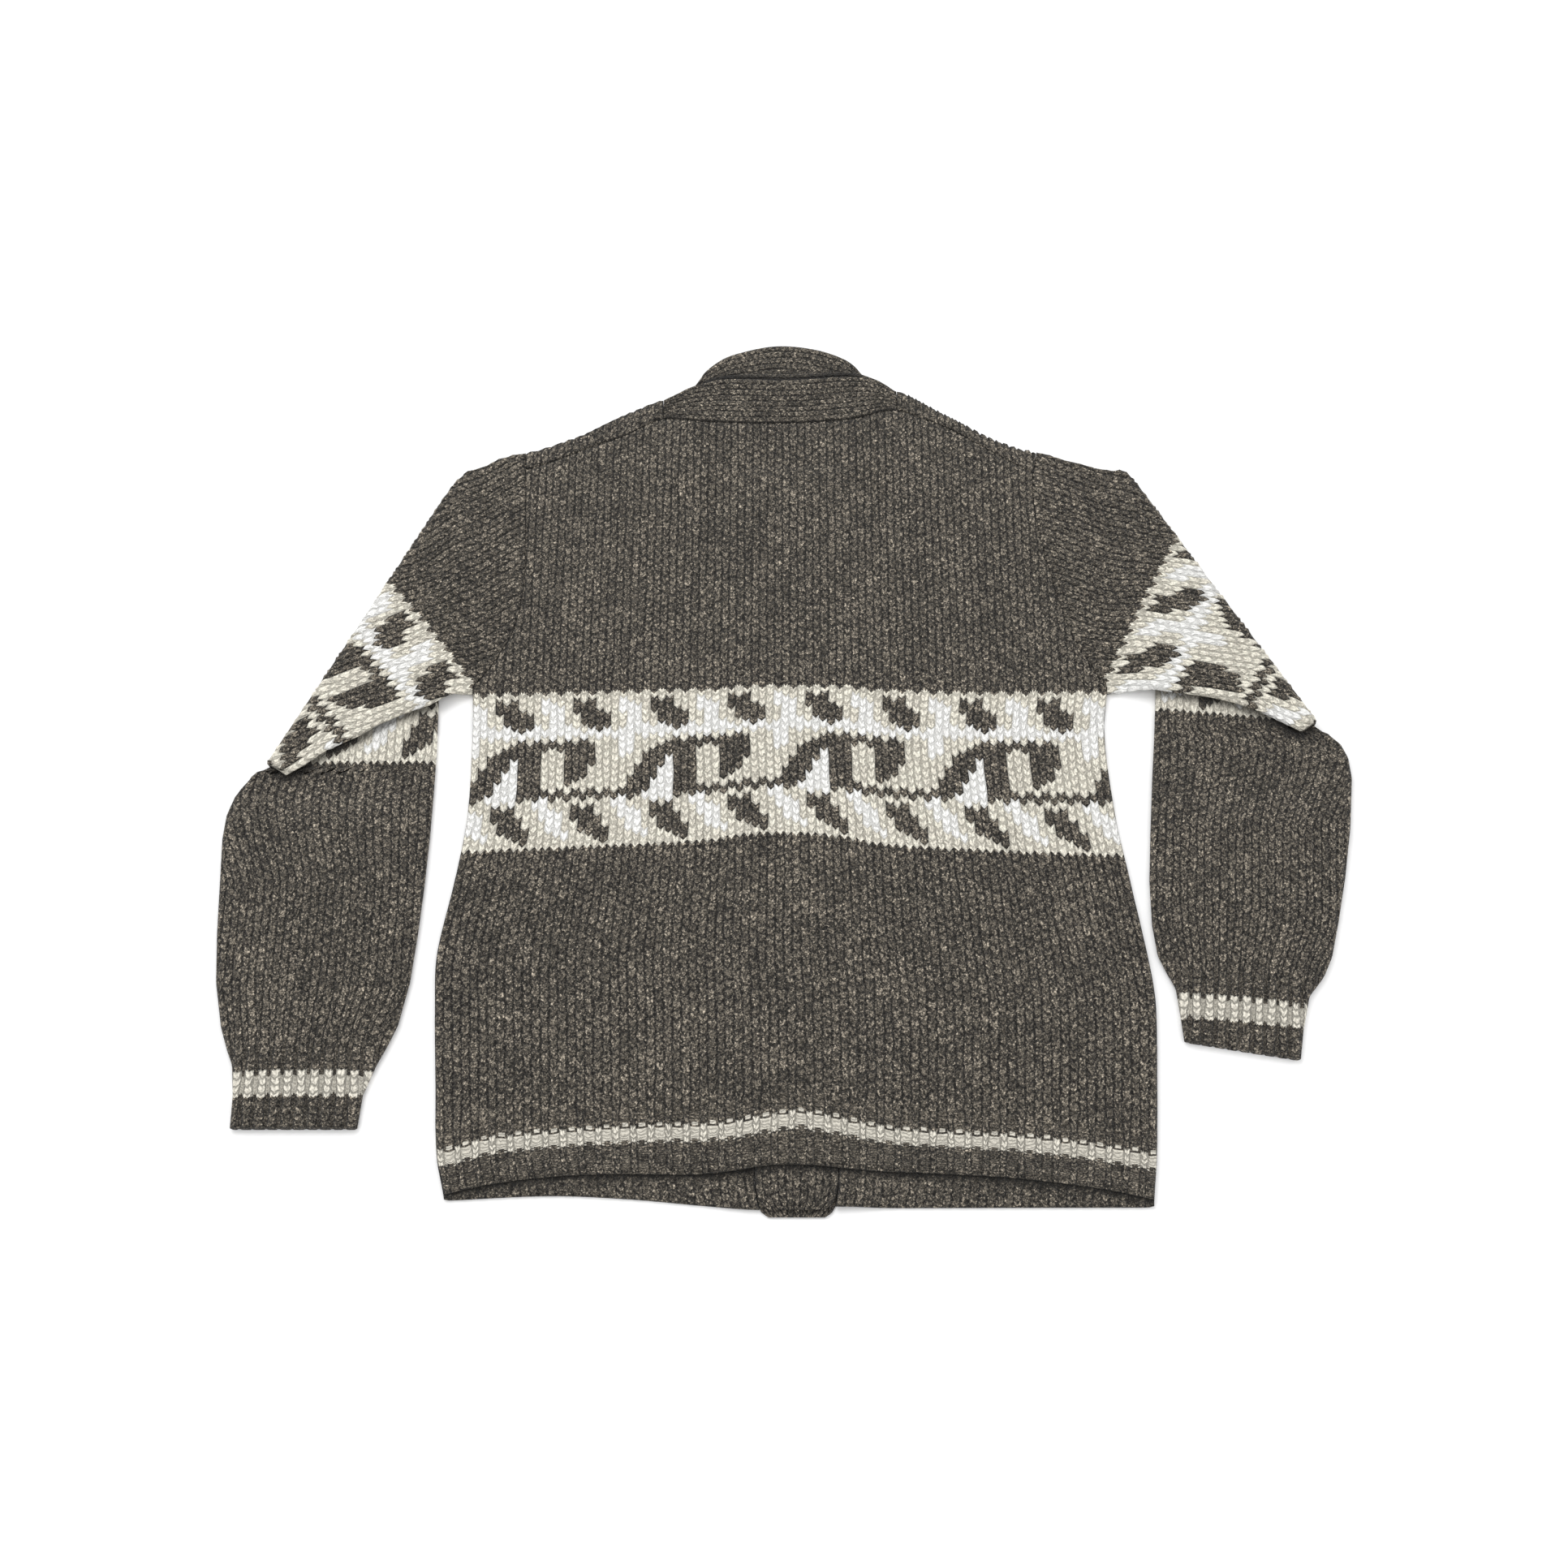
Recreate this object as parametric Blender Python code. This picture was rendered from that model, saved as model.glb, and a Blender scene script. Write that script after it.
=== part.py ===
"""Hand-knitted cardigan laid face down on a flat surface, its back up and both sleeves folded under.

Lengths in the tables are millimetres. X runs across the body, Y from the hem to the neck, Z up. Before the
last step X is counted from the centre line of the back and Y from the end of the front bands."""

import math

import bmesh
import bpy

MM = 0.001
NAME = "cardigan"

WALL = 4.0  # thickness of the knitted cloth
GAP = 0.3  # air between two layers, and across a seam
HALF_GAP = GAP / 2
SEAM_PLANE = WALL + HALF_GAP  # where back and fronts meet, above the floor

RIB_HEIGHT = 1.5  # a rib above the wall
HEM_RIB = 15.0  # width of one rib and its channel at the hem
HEM_RIB_DEPTH = 58.0  # length of the ribbing above the hem of the back
CUFF_RIB = 10.0  # the same at the cuff

BAND_CENTRE = 10.0  # the two front bands lie on each other here
BAND_WALL = 3.6
BUTTON_COUNT = 6
BUTTON_RADIUS = 12.0
BUTTON_THICK = 3.5
BUTTON_FIRST_Y = 92.0
BUTTON_LAST_Y = 672.0

RIDGE_RISE = BUTTON_THICK + 2 * BAND_WALL + 2 * GAP + HALF_GAP + 0.2 - SEAM_PLANE
RIDGE = (  # distance from the middle of the bands, share of the rise
    (0.0, 1.0),
    (33.0, 1.0),
    (48.0, 0.75),
    (62.0, 0.3),
    (78.0, 0.0),
)
RIDGE_ALONG = (  # height up the body, share of the rise
    (0.0, 0.52),
    (15.0, 0.52),
    (45.0, 0.74),
    (78.0, 1.0),
    (900.0, 1.0),
)
LEFT_FRONT_RISE = 0.45  # the left front ends on the lower band

BODY_EDGE = (  # height, left edge, right edge
    (0.0, -264.0, 288.0),
    (15.0, -265.5, 289.0),
    (50.0, -273.5, 293.5),
    (110.0, -278.3, 298.0),
    (180.0, -283.5, 301.8),
    (222.0, -284.8, 298.2),
    (290.0, -274.5, 288.5),
    (350.0, -267.6, 280.2),
    (430.0, -268.0, 275.5),
    (476.0, -270.5, 281.0),
)
ARMHOLE = (  # height, left armhole seam, right armhole seam
    (476.0, -270.5, 281.0),
    (500.0, -254.5, 267.0),
    (535.0, -238.5, 251.5),
    (580.0, -231.5, 240.5),
    (640.0, -232.5, 229.5),
    (690.0, -234.6, 225.8),
    (729.0, -237.0, 231.5),
)
UNDERARM = 476.0
BACK_TOP = (  # place across, shoulder seams and neck seam of the back
    (-237.0, 707.5),
    (-209.0, 718.4),
    (-170.0, 736.7),
    (-148.0, 745.5),
    (-127.0, 758.0),
    (-112.0, 766.0),
    (-87.0, 762.6),
    (-45.0, 760.0),
    (-3.0, 759.6),
    (35.0, 761.5),
    (70.0, 765.0),
    (105.0, 774.5),
    (131.0, 764.4),
    (158.0, 750.5),
    (196.0, 724.5),
    (232.0, 702.0),
)
SHOULDER_FOLD = (  # place across, outline where the fronts roll over to the back
    (-237.0, 728.0),
    (-217.0, 735.2),
    (-186.0, 749.0),
    (-163.0, 763.0),
    (-141.0, 775.5),
    (-112.0, 788.0),
    (105.0, 798.5),
    (113.0, 797.0),
    (143.0, 777.0),
    (165.0, 763.0),
    (185.0, 749.0),
    (213.0, 735.2),
    (232.0, 729.0),
)
BACK_HEM = (  # place across, edge
    (-267.0, 17.0),
    (-245.0, 22.7),
    (-207.0, 29.5),
    (-150.0, 34.0),
    (-68.0, 34.0),
    (-35.0, 36.5),
    (-10.0, 40.0),
    (17.0, 40.0),
    (50.0, 37.0),
    (110.0, 35.0),
    (180.0, 31.0),
    (250.0, 22.0),
    (291.0, 13.0),
)
FRONT_HEM = (  # place across, edge
    (-267.0, 14.0),
    (-183.0, 17.8),
    (-120.0, 15.0),
    (-68.0, 10.0),
    (-23.0, 6.0),
    (43.0, 8.0),
    (85.0, 8.0),
    (150.0, 8.2),
    (291.0, 8.5),
)
NECK_LEFT = -112.0
NECK_RIGHT = 105.0
FRONT_NECK = (  # place across, share of the way from underarm to the top edge of the back
    (-112.0, 1.0),
    (-90.0, 0.925),
    (-68.0, 0.86),
    (-52.0, 0.83),
    (-38.0, 0.81),
    (-23.0, 0.8),
    (43.0, 0.8),
    (58.0, 0.815),
    (72.0, 0.845),
    (88.0, 0.9),
    (105.0, 1.0),
)
BAND_END = 0.8
BAND_TIP = (  # distance from the end of a band, half its width
    (0.0, 25.0),
    (3.0, 30.5),
    (8.0, 32.85),
)
BUTTON_BAND_SHORT = 5.0

LOWER_ROWS = (0.0, 0.08, 0.18, 0.27, 0.36, 0.45, 0.54, 0.63, 0.72, 0.81, 0.9, 0.96, 1.0)
UPPER_ROWS = (0.05, 0.1, 0.17, 0.24, 0.32, 0.42, 0.54, 0.66, 0.78, 0.89, 1.0)
SIDE_ROUND = (  # distance from the side edge, share of the wall
    (0.0, 0.5),
    (2.0, 0.83),
    (6.0, 1.0),
)
SIDE_COLUMNS = 8
NECK_COLUMNS = 2

NECK_RISE = (  # place across, rise of back and collar over the crossed collar fronts
    (-112.0, 0.0),
    (-90.0, 1.0),
    (88.0, 1.0),
    (105.0, 0.0),
)
COLLAR_TOP = (  # place across, upper edge of the back of the collar, lift of that edge
    (-111.5, 787.0, 0.0),
    (-100.0, 793.5, 0.0),
    (-82.0, 799.5, 1.5),
    (-58.0, 804.5, 3.5),
    (-30.0, 805.0, 4.5),
    (-3.0, 803.0, 5.5),
    (24.0, 805.5, 5.0),
    (52.0, 808.5, 3.5),
    (76.0, 810.5, 1.5),
    (94.0, 803.5, 0.0),
    (104.5, 797.0, 0.0),
)
COLLAR_EDGE = (  # place across, outer edge of the lower front of the collar, of the upper one
    (-111.0, 788.0, 787.0),
    (-96.0, 796.5, 795.0),
    (-82.0, 806.0, 803.0),
    (-74.0, 820.0, 810.0),
    (-56.0, 835.0, 817.5),
    (-35.0, 843.5, 819.5),
    (-15.0, 848.0, 819.5),
    (2.0, 849.5, 819.5),
    (22.0, 848.0, 820.5),
    (40.0, 842.8, 821.5),
    (58.0, 835.0, 820.5),
    (74.0, 825.0, 817.0),
    (94.0, 806.0, 805.5),
    (104.5, 799.0, 799.0),
)
COLLAR_LEFT_SPAN = (-111.0, 74.0)
COLLAR_RIGHT_SPAN = (-76.0, 104.5)

SLEEVE_WALL = 2 * WALL + GAP  # both layers of the flat sleeve
LAYER_GAP = 0.8  # between the upper arm and the folded forearm
FOLD_AXIS = SLEEVE_WALL + LAYER_GAP / 2
FOLD_IN = LAYER_GAP / 2
FOLD_OUT = FOLD_IN + SLEEVE_WALL
FOLD_STEPS = 6
SLEEVE_EDGE = (  # distance from the edge of the sleeve, share of the thickness
    (4.2, 1.0),
    (1.3, 0.85),
    (0.0, 0.5),
    (1.3, 0.15),
    (4.2, 0.0),
)
ARM_CROWN = 3.0
FOREARM_CROWN = 6.0
SLIT_DEPTH = 40.0
SLIT_HALF = 0.5

ARM_LEFT = (  # top edge x, y, underarm edge x, y, from armhole to fold
    (-237.3, 728.0, -270.8, 471.0),
    (-250.0, 725.0, -286.0, 468.0),
    (-262.0, 720.5, -304.0, 456.0),
    (-280.0, 707.5, -342.0, 437.0),
    (-296.0, 692.0, -392.0, 405.0),
    (-309.0, 674.0, -447.0, 405.0),
)
FOREARM_LEFT = (  # inner edge x, y, outer edge x, y, from fold to cuff
    (-303.5, 560.0, -457.0, 401.0),
    (-299.0, 458.0, -463.5, 389.0),
    (-297.5, 410.0, -468.0, 372.0),
    (-297.5, 370.0, -471.2, 352.0),
    (-297.8, 332.0, -472.4, 330.0),
    (-299.2, 287.0, -469.8, 286.0),
    (-301.5, 242.0, -467.3, 242.0),
    (-305.0, 198.0, -463.2, 198.0),
    (-312.0, 160.0, -455.0, 159.0),
    (-320.0, 140.0, -448.0, 139.0),
    (-326.5, 126.0, -442.5, 126.0),
    (-335.4, 100.0, -439.2, 100.0),
    (-337.6, 72.5, -438.6, 72.5),
)
ARM_RIGHT = (
    (231.8, 729.0, 281.3, 471.5),
    (244.0, 725.0, 300.0, 475.0),
    (258.0, 719.5, 322.0, 471.5),
    (286.0, 708.5, 366.0, 458.5),
    (313.0, 697.5, 416.0, 442.0),
    (328.5, 677.0, 467.0, 442.0),
)
FOREARM_RIGHT = (
    (325.5, 570.0, 475.0, 436.0),
    (322.5, 470.0, 480.0, 424.0),
    (318.0, 425.0, 483.0, 408.0),
    (313.5, 385.0, 484.0, 388.0),
    (308.5, 335.0, 477.5, 340.0),
    (304.5, 290.0, 468.0, 293.0),
    (303.8, 250.0, 458.0, 252.0),
    (306.5, 222.0, 449.5, 221.0),
    (313.0, 206.0, 441.0, 203.0),
    (319.0, 193.0, 427.5, 186.0),
    (321.0, 168.0, 419.5, 156.0),
    (322.4, 147.0, 414.9, 131.0),
)
CUFF_ROWS = 3  # rows of the forearm tables that are cuff
SAG_LEFT = (-268.0, -294.0)  # the upper arm comes down to the floor between these
SAG_RIGHT = (284.0, 318.0)
FREE_FROM = 385.0  # the forearms are uncovered below this height up the body

BUTTON_SIDES = 16
BUTTON_PROFILE = (  # radius, height above the floor
    (6.5, 0.5),
    (8.5, 0.0),
    (10.8, 0.15),
    (BUTTON_RADIUS, 1.3),
    (BUTTON_RADIUS, 2.3),
    (10.5, BUTTON_THICK),
)

WOOL = (0.085, 0.071, 0.062, 1.0)
TRIM_WOOL = (0.080, 0.067, 0.058, 1.0)
LEATHER = (0.095, 0.045, 0.022, 1.0)


def mix(a, b, t):
    return a + (b - a) * t


def ease(t):
    t = min(max(t, 0.0), 1.0)
    return t * t * (3 - 2 * t)


def read(table, at, column=1):
    """A column of a table, read smoothly at a place of its first column."""
    at = min(max(at, table[0][0]), table[-1][0])
    k = 0
    while k < len(table) - 2 and at > table[k + 1][0]:
        k += 1

    def slope(i):
        low, high = max(i - 1, 0), min(i + 1, len(table) - 1)
        return (table[high][column] - table[low][column]) / (table[high][0] - table[low][0])

    span = table[k + 1][0] - table[k][0]
    t = (at - table[k][0]) / span
    bend = slope(k) * t * (1 - t) ** 2 - slope(k + 1) * t * t * (1 - t)
    return mix(table[k][column], table[k + 1][column], ease(t)) + span * bend


def read_straight(table, at, column=1):
    """The same with straight lines between the rows."""
    at = min(max(at, table[0][0]), table[-1][0])
    for low, high in zip(table, table[1:]):
        if at <= high[0]:
            break
    return mix(low[column], high[column], (at - low[0]) / (high[0] - low[0]))


def rib_places(start, end, repeat):
    """Places across ribbing with the rise at each, four to a rib and its channel."""
    count = max(1, round((end - start) / repeat))
    step = (end - start) / count
    places = [(start, 0.0)]
    for k in range(count):
        for share, rise in ((0.12, 0.0), (0.22, RIB_HEIGHT), (0.68, RIB_HEIGHT), (0.78, 0.0)):
            places.append((start + step * (k + share), rise))
    return places + [(end, 0.0)]


class Solid:
    """Points and triangles of one closed piece."""

    def __init__(self):
        self.points = []
        self.faces = []

    def row(self, points, axis=0):
        """Adds a row of points, and gives it as pairs of place along an axis and point number."""
        first = len(self.points)
        self.points += [tuple(p) for p in points]
        return [(p[axis], first + k) for k, p in enumerate(points)]

    def strip(self, low, high):
        """Triangles between two rows, point to point where they have as many, or else by their places."""
        a, b = 0, 0
        while a < len(low) - 1 or b < len(high) - 1:
            if len(low) == len(high):
                low_next = a == b
            elif a < len(low) - 1 and b < len(high) - 1:
                low_next = low[a + 1][0] <= high[b + 1][0]
            else:
                low_next = b == len(high) - 1
            if low_next:
                face = (low[a][1], low[a + 1][1], high[b][1])
                a += 1
            else:
                face = (low[a][1], high[b + 1][1], high[b][1])
                b += 1
            if len(set(face)) == 3:
                self.faces.append(face)

    def skin(self, rows):
        for low, high in zip(rows, rows[1:]):
            self.strip(low, high)

    def side(self, rows, end, axis=1):
        """The first or last point of each row, as a row of its own."""
        return [(self.points[r[end][1]][axis], r[end][1]) for r in rows]

    def slab(self, over, under):
        """Two skins and the four edges between them."""
        self.skin(over)
        self.skin(under)
        for end in (0, -1):
            self.strip(over[end], under[end])
            self.strip(self.side(over, end), self.side(under, end))

    def build(self, name, material):
        mesh = bpy.data.meshes.new(name)
        form = bmesh.new()
        points = [form.verts.new([c * MM for c in p]) for p in self.points]
        for face in self.faces:
            form.faces.new([points[i] for i in face])
        bmesh.ops.recalc_face_normals(form, faces=form.faces)
        form.to_mesh(mesh)
        form.free()
        piece = bpy.data.objects.new(name, mesh)
        mesh.materials.append(material)
        collection.objects.link(piece)
        return piece


def edges_at(y):
    table = BODY_EDGE if y < UNDERARM else ARMHOLE
    return read(table, y, 1), read(table, y, 2)


def body_height(x, v, w=0.0):
    """Height up the body, v from the hem of the back to the underarm and w on to its top edge."""
    if w > 0:
        return mix(UNDERARM, read(BACK_TOP, x), w)
    return mix(read(BACK_HEM, x), UNDERARM, v)


def body_row(height):
    """Plan points across the body on the columns that all its layers share."""
    left, right = -270.0, 280.0
    for _ in range(12):
        left = edges_at(height(left))[0]
        right = edges_at(height(right))[1]
    rounds = [d for d, _ in SIDE_ROUND]
    foot = BAND_CENTRE - RIDGE[-1][0]
    columns = [left + d for d in rounds]
    columns += [mix(columns[-1], NECK_LEFT, k / SIDE_COLUMNS) for k in range(1, SIDE_COLUMNS + 1)]
    columns += [mix(NECK_LEFT, foot, k / NECK_COLUMNS) for k in range(1, NECK_COLUMNS)]
    columns += [BAND_CENTRE - d for d, _ in reversed(RIDGE)]
    columns += [BAND_CENTRE + d for d, _ in RIDGE[1:]]
    columns += [mix(NECK_RIGHT, right - rounds[-1], k / SIDE_COLUMNS) for k in range(SIDE_COLUMNS + 1)]
    columns += [right - d for d in reversed(rounds[:-1])]
    return [(x, height(x)) for x in columns]


ROWS = [body_row(lambda x, v=v: body_height(x, v)) for v in LOWER_ROWS]
ROWS += [body_row(lambda x, w=w: body_height(x, 1.0, w)) for w in UPPER_ROWS]
NECKLINE = body_row(lambda x: body_height(x, 1.0, read_straight(FRONT_NECK, x)))
COUNT = len(ROWS[0])
FIRST_UPPER = len(LOWER_ROWS)
NECK_ROW = len(ROWS) - 3
LEFT_NECK = len(SIDE_ROUND) + SIDE_COLUMNS - 1
LEFT_SEAM = LEFT_NECK + NECK_COLUMNS + len(RIDGE) - 2
RIGHT_SEAM = LEFT_SEAM + 2
RIGHT_NECK = RIGHT_SEAM + len(RIDGE) - 1


def ridge(x, y):
    share = read_straight(RIDGE, abs(x - BAND_CENTRE)) * read_straight(RIDGE_ALONG, y)
    return RIDGE_RISE * share


def seam_plane(x, y, row=0):
    """Height of the plane between fronts and back: raised over the bands and over the crossed collar."""
    if row < NECK_ROW:
        return SEAM_PLANE + ridge(x, y)
    over_collar = (WALL + GAP) * read_straight(NECK_RISE, x)
    over_bands = ridge(x, y) if row == NECK_ROW else 0.0
    return SEAM_PLANE + max(over_collar, over_bands)


def wall_share(column, row):
    """Share of the wall at a column, thinner at the rounded sides below the armholes."""
    column = min(column, COUNT - 1 - column)
    if row >= FIRST_UPPER - 1 or column >= len(SIDE_ROUND):
        return 1.0
    return SIDE_ROUND[column][1]


def ribbed_row(solid, coarse, height, first, last, share=1.0):
    """A row across ribbing on the skin that a coarse row of points gives, with plain ends."""
    places = [(p[0], 0.0) for p in coarse[:first]]
    places += rib_places(coarse[first][0], coarse[last][0], HEM_RIB)
    places += [(p[0], 0.0) for p in coarse[last:][1:]]
    table = [(p[0], p[2]) for p in coarse]
    return solid.row([(x, height(x), read_straight(table, x) + rise * share) for x, rise in places])


def make_back():
    solid = Solid()

    def skins(plan, j):
        low = [(x, y, seam_plane(x, y, j) + HALF_GAP) for x, y in plan]
        return low, [(x, y, z + WALL * wall_share(k, j)) for k, (x, y, z) in enumerate(low)]

    over, under = [], []
    for climb, share in ((0.0, 1.0), (HEM_RIB_DEPTH - 4.0, 1.0), (HEM_RIB_DEPTH, 0.0)):
        height = lambda x, climb=climb: read(BACK_HEM, x) + climb
        over.append(ribbed_row(solid, skins(body_row(height), 0)[1], height, 2, -3, share))
    for j, plan in enumerate(ROWS):
        low, high = skins(plan, j)
        under.append(solid.row(low))
        if j > 1:
            over.append(solid.row(high))
    solid.slab(over, under)
    return solid.build("back", wool)


def make_front(name, columns, left, rise):
    """A front: a flat panel from hem to neck, rolled at the shoulder on to the edge of the back."""
    solid = Solid()
    neck = columns.index(LEFT_NECK if left else RIGHT_NECK)
    over, under = [], []

    def lay(plan, j):
        """Points of the upper skin on some columns of a row, with the wall at each."""
        points = []
        for k in columns:
            x, y = plan[k]
            z = SEAM_PLANE - HALF_GAP + (seam_plane(x, y, j) - SEAM_PLANE) * rise
            if k in (LEFT_SEAM, RIGHT_SEAM):
                x += -HALF_GAP if left else HALF_GAP
            points.append((x, y, z, WALL * wall_share(k, j)))
        return points

    def add(points):
        over.append(solid.row([p[:3] for p in points]))
        under.append(solid.row([(x, y, z - wall) for x, y, z, wall in points]))

    hem = lay(body_row(lambda x: read(FRONT_HEM, x)), 0)
    under.append(solid.row([(x, y, z - wall) for x, y, z, wall in hem]))
    first, last = (2, -1) if left else (0, -3)
    for height in (lambda x: read(FRONT_HEM, x), lambda x: read(BACK_HEM, x) - 3.0):
        coarse = [p[:3] for p in lay(body_row(height), 0)]
        over.append(ribbed_row(solid, coarse, height, first, last))
    for j, plan in enumerate(ROWS[: NECK_ROW + 1]):
        add(lay(plan, j))
    start = UPPER_ROWS[NECK_ROW - FIRST_UPPER]
    for share in (0.5, 1.0):
        plan = body_row(lambda x: body_height(x, 1.0, mix(start, read_straight(FRONT_NECK, x), share)))
        points = lay(plan, NECK_ROW)
        for k, (x, y, z, wall) in enumerate(points):
            if (k > neck) if left else (k < neck):
                points[k] = (x, y, z - 0.8 * share, wall)
        add(points)

    shoulder = slice(0, neck + 1) if left else slice(neck, None)
    front_neck = slice(neck, None) if left else slice(0, neck + 1)
    top = [solid.points[i] for _, i in over[-1][shoulder]]
    inside, outside = [over[-1][shoulder]], [under[-1][shoulder]]
    for skin, reach, steps in ((inside, HALF_GAP, 2), (outside, SEAM_PLANE, 5)):
        for k in range(steps + 1):
            turn = math.pi * k / steps
            out, z = reach * math.sin(turn), SEAM_PLANE - reach * math.cos(turn)
            skin.append(solid.row([(x, read(SHOULDER_FOLD, x) - SEAM_PLANE + out, z) for x, _, _ in top]))
        skin.append(solid.row([(x, y + GAP, SEAM_PLANE + reach) for x, y, _ in top]))
    for skin in (over, under, inside, outside):
        solid.skin(skin)
    solid.strip(over[0], under[0])
    solid.strip(over[-1][front_neck], under[-1][front_neck])
    solid.strip(inside[-1], outside[-1])
    for end in (0, -1):
        solid.strip(solid.side(over, end), solid.side(under, end))
        chains = [[r[end][1] for r in skin] for skin in (inside, outside)]
        solid.strip(*[[(k / (len(chain) - 1), i) for k, i in enumerate(chain)] for chain in chains])
    return solid.build(name, wool)


def make_band(name, short, drop):
    """A front band: a flat strip from a rounded end at the hem to the neck."""
    solid = Solid()
    over, under = [], []

    def add(points):
        over.append(solid.row(points))
        under.append(solid.row([(x, y, z - BAND_WALL) for x, y, z in points]))

    for along, half in BAND_TIP:
        for_z = [(BAND_CENTRE + side * half, short + along) for side in (-1, 0, 1)]
        add([(x, y, seam_plane(BAND_CENTRE, y) - HALF_GAP - 0.2 - drop) for x, y in for_z])
    half = BAND_TIP[-1][1]
    rows = [(plan[LEFT_SEAM + 1][1], 0.0) for plan in ROWS[: NECK_ROW + 1]]
    rows.append((body_height(BAND_CENTRE, 1.0, BAND_END) - 2 * GAP, 0.8))
    for y, lower in rows:
        z = seam_plane(BAND_CENTRE, y) - HALF_GAP - 0.2 - drop - lower
        add([(BAND_CENTRE + side * half, y, z) for side in (-1, 0, 1)])
    solid.slab(over, under)
    return solid.build(name, trim)


def collar_columns(start, end):
    """Places across a collar piece, with one at each place where the rise over the crossed fronts bends."""
    places = [start] + [x for x, _ in NECK_RISE if start < x < end] + [end]
    columns = []
    for low, high in zip(places, places[1:]):
        count = max(1, round((high - low) / 12.0))
        columns += [mix(low, high, k / count) for k in range(count)]
    return columns + [end]


def make_collar(name, span, low_edge, high_edge, base, lift, under_round):
    """A curved strip of collar between two edges. Its outer edge is rounded, from below or from above."""
    solid = Solid()
    over, under = [], []
    for share, thin in ((0.0, 0.0), (0.3, 0.0), (0.65, 0.0), (0.92, 0.0), (0.975, 0.2), (1.0, 0.45)):
        high, low = [], []
        for x in collar_columns(*span):
            y = mix(low_edge(x), high_edge(x), share)
            z = base(x) + lift(x) * share * share
            low.append((x, y, z + (WALL * thin if under_round else 0.0)))
            high.append((x, y, z + WALL * (1.0 if under_round else 1 - thin)))
        over.append(solid.row(high))
        under.append(solid.row(low))
    solid.slab(over, under)
    return solid.build(name, trim)


def collar_base(x):
    return (WALL + GAP) * read_straight(NECK_RISE, x)


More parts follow.
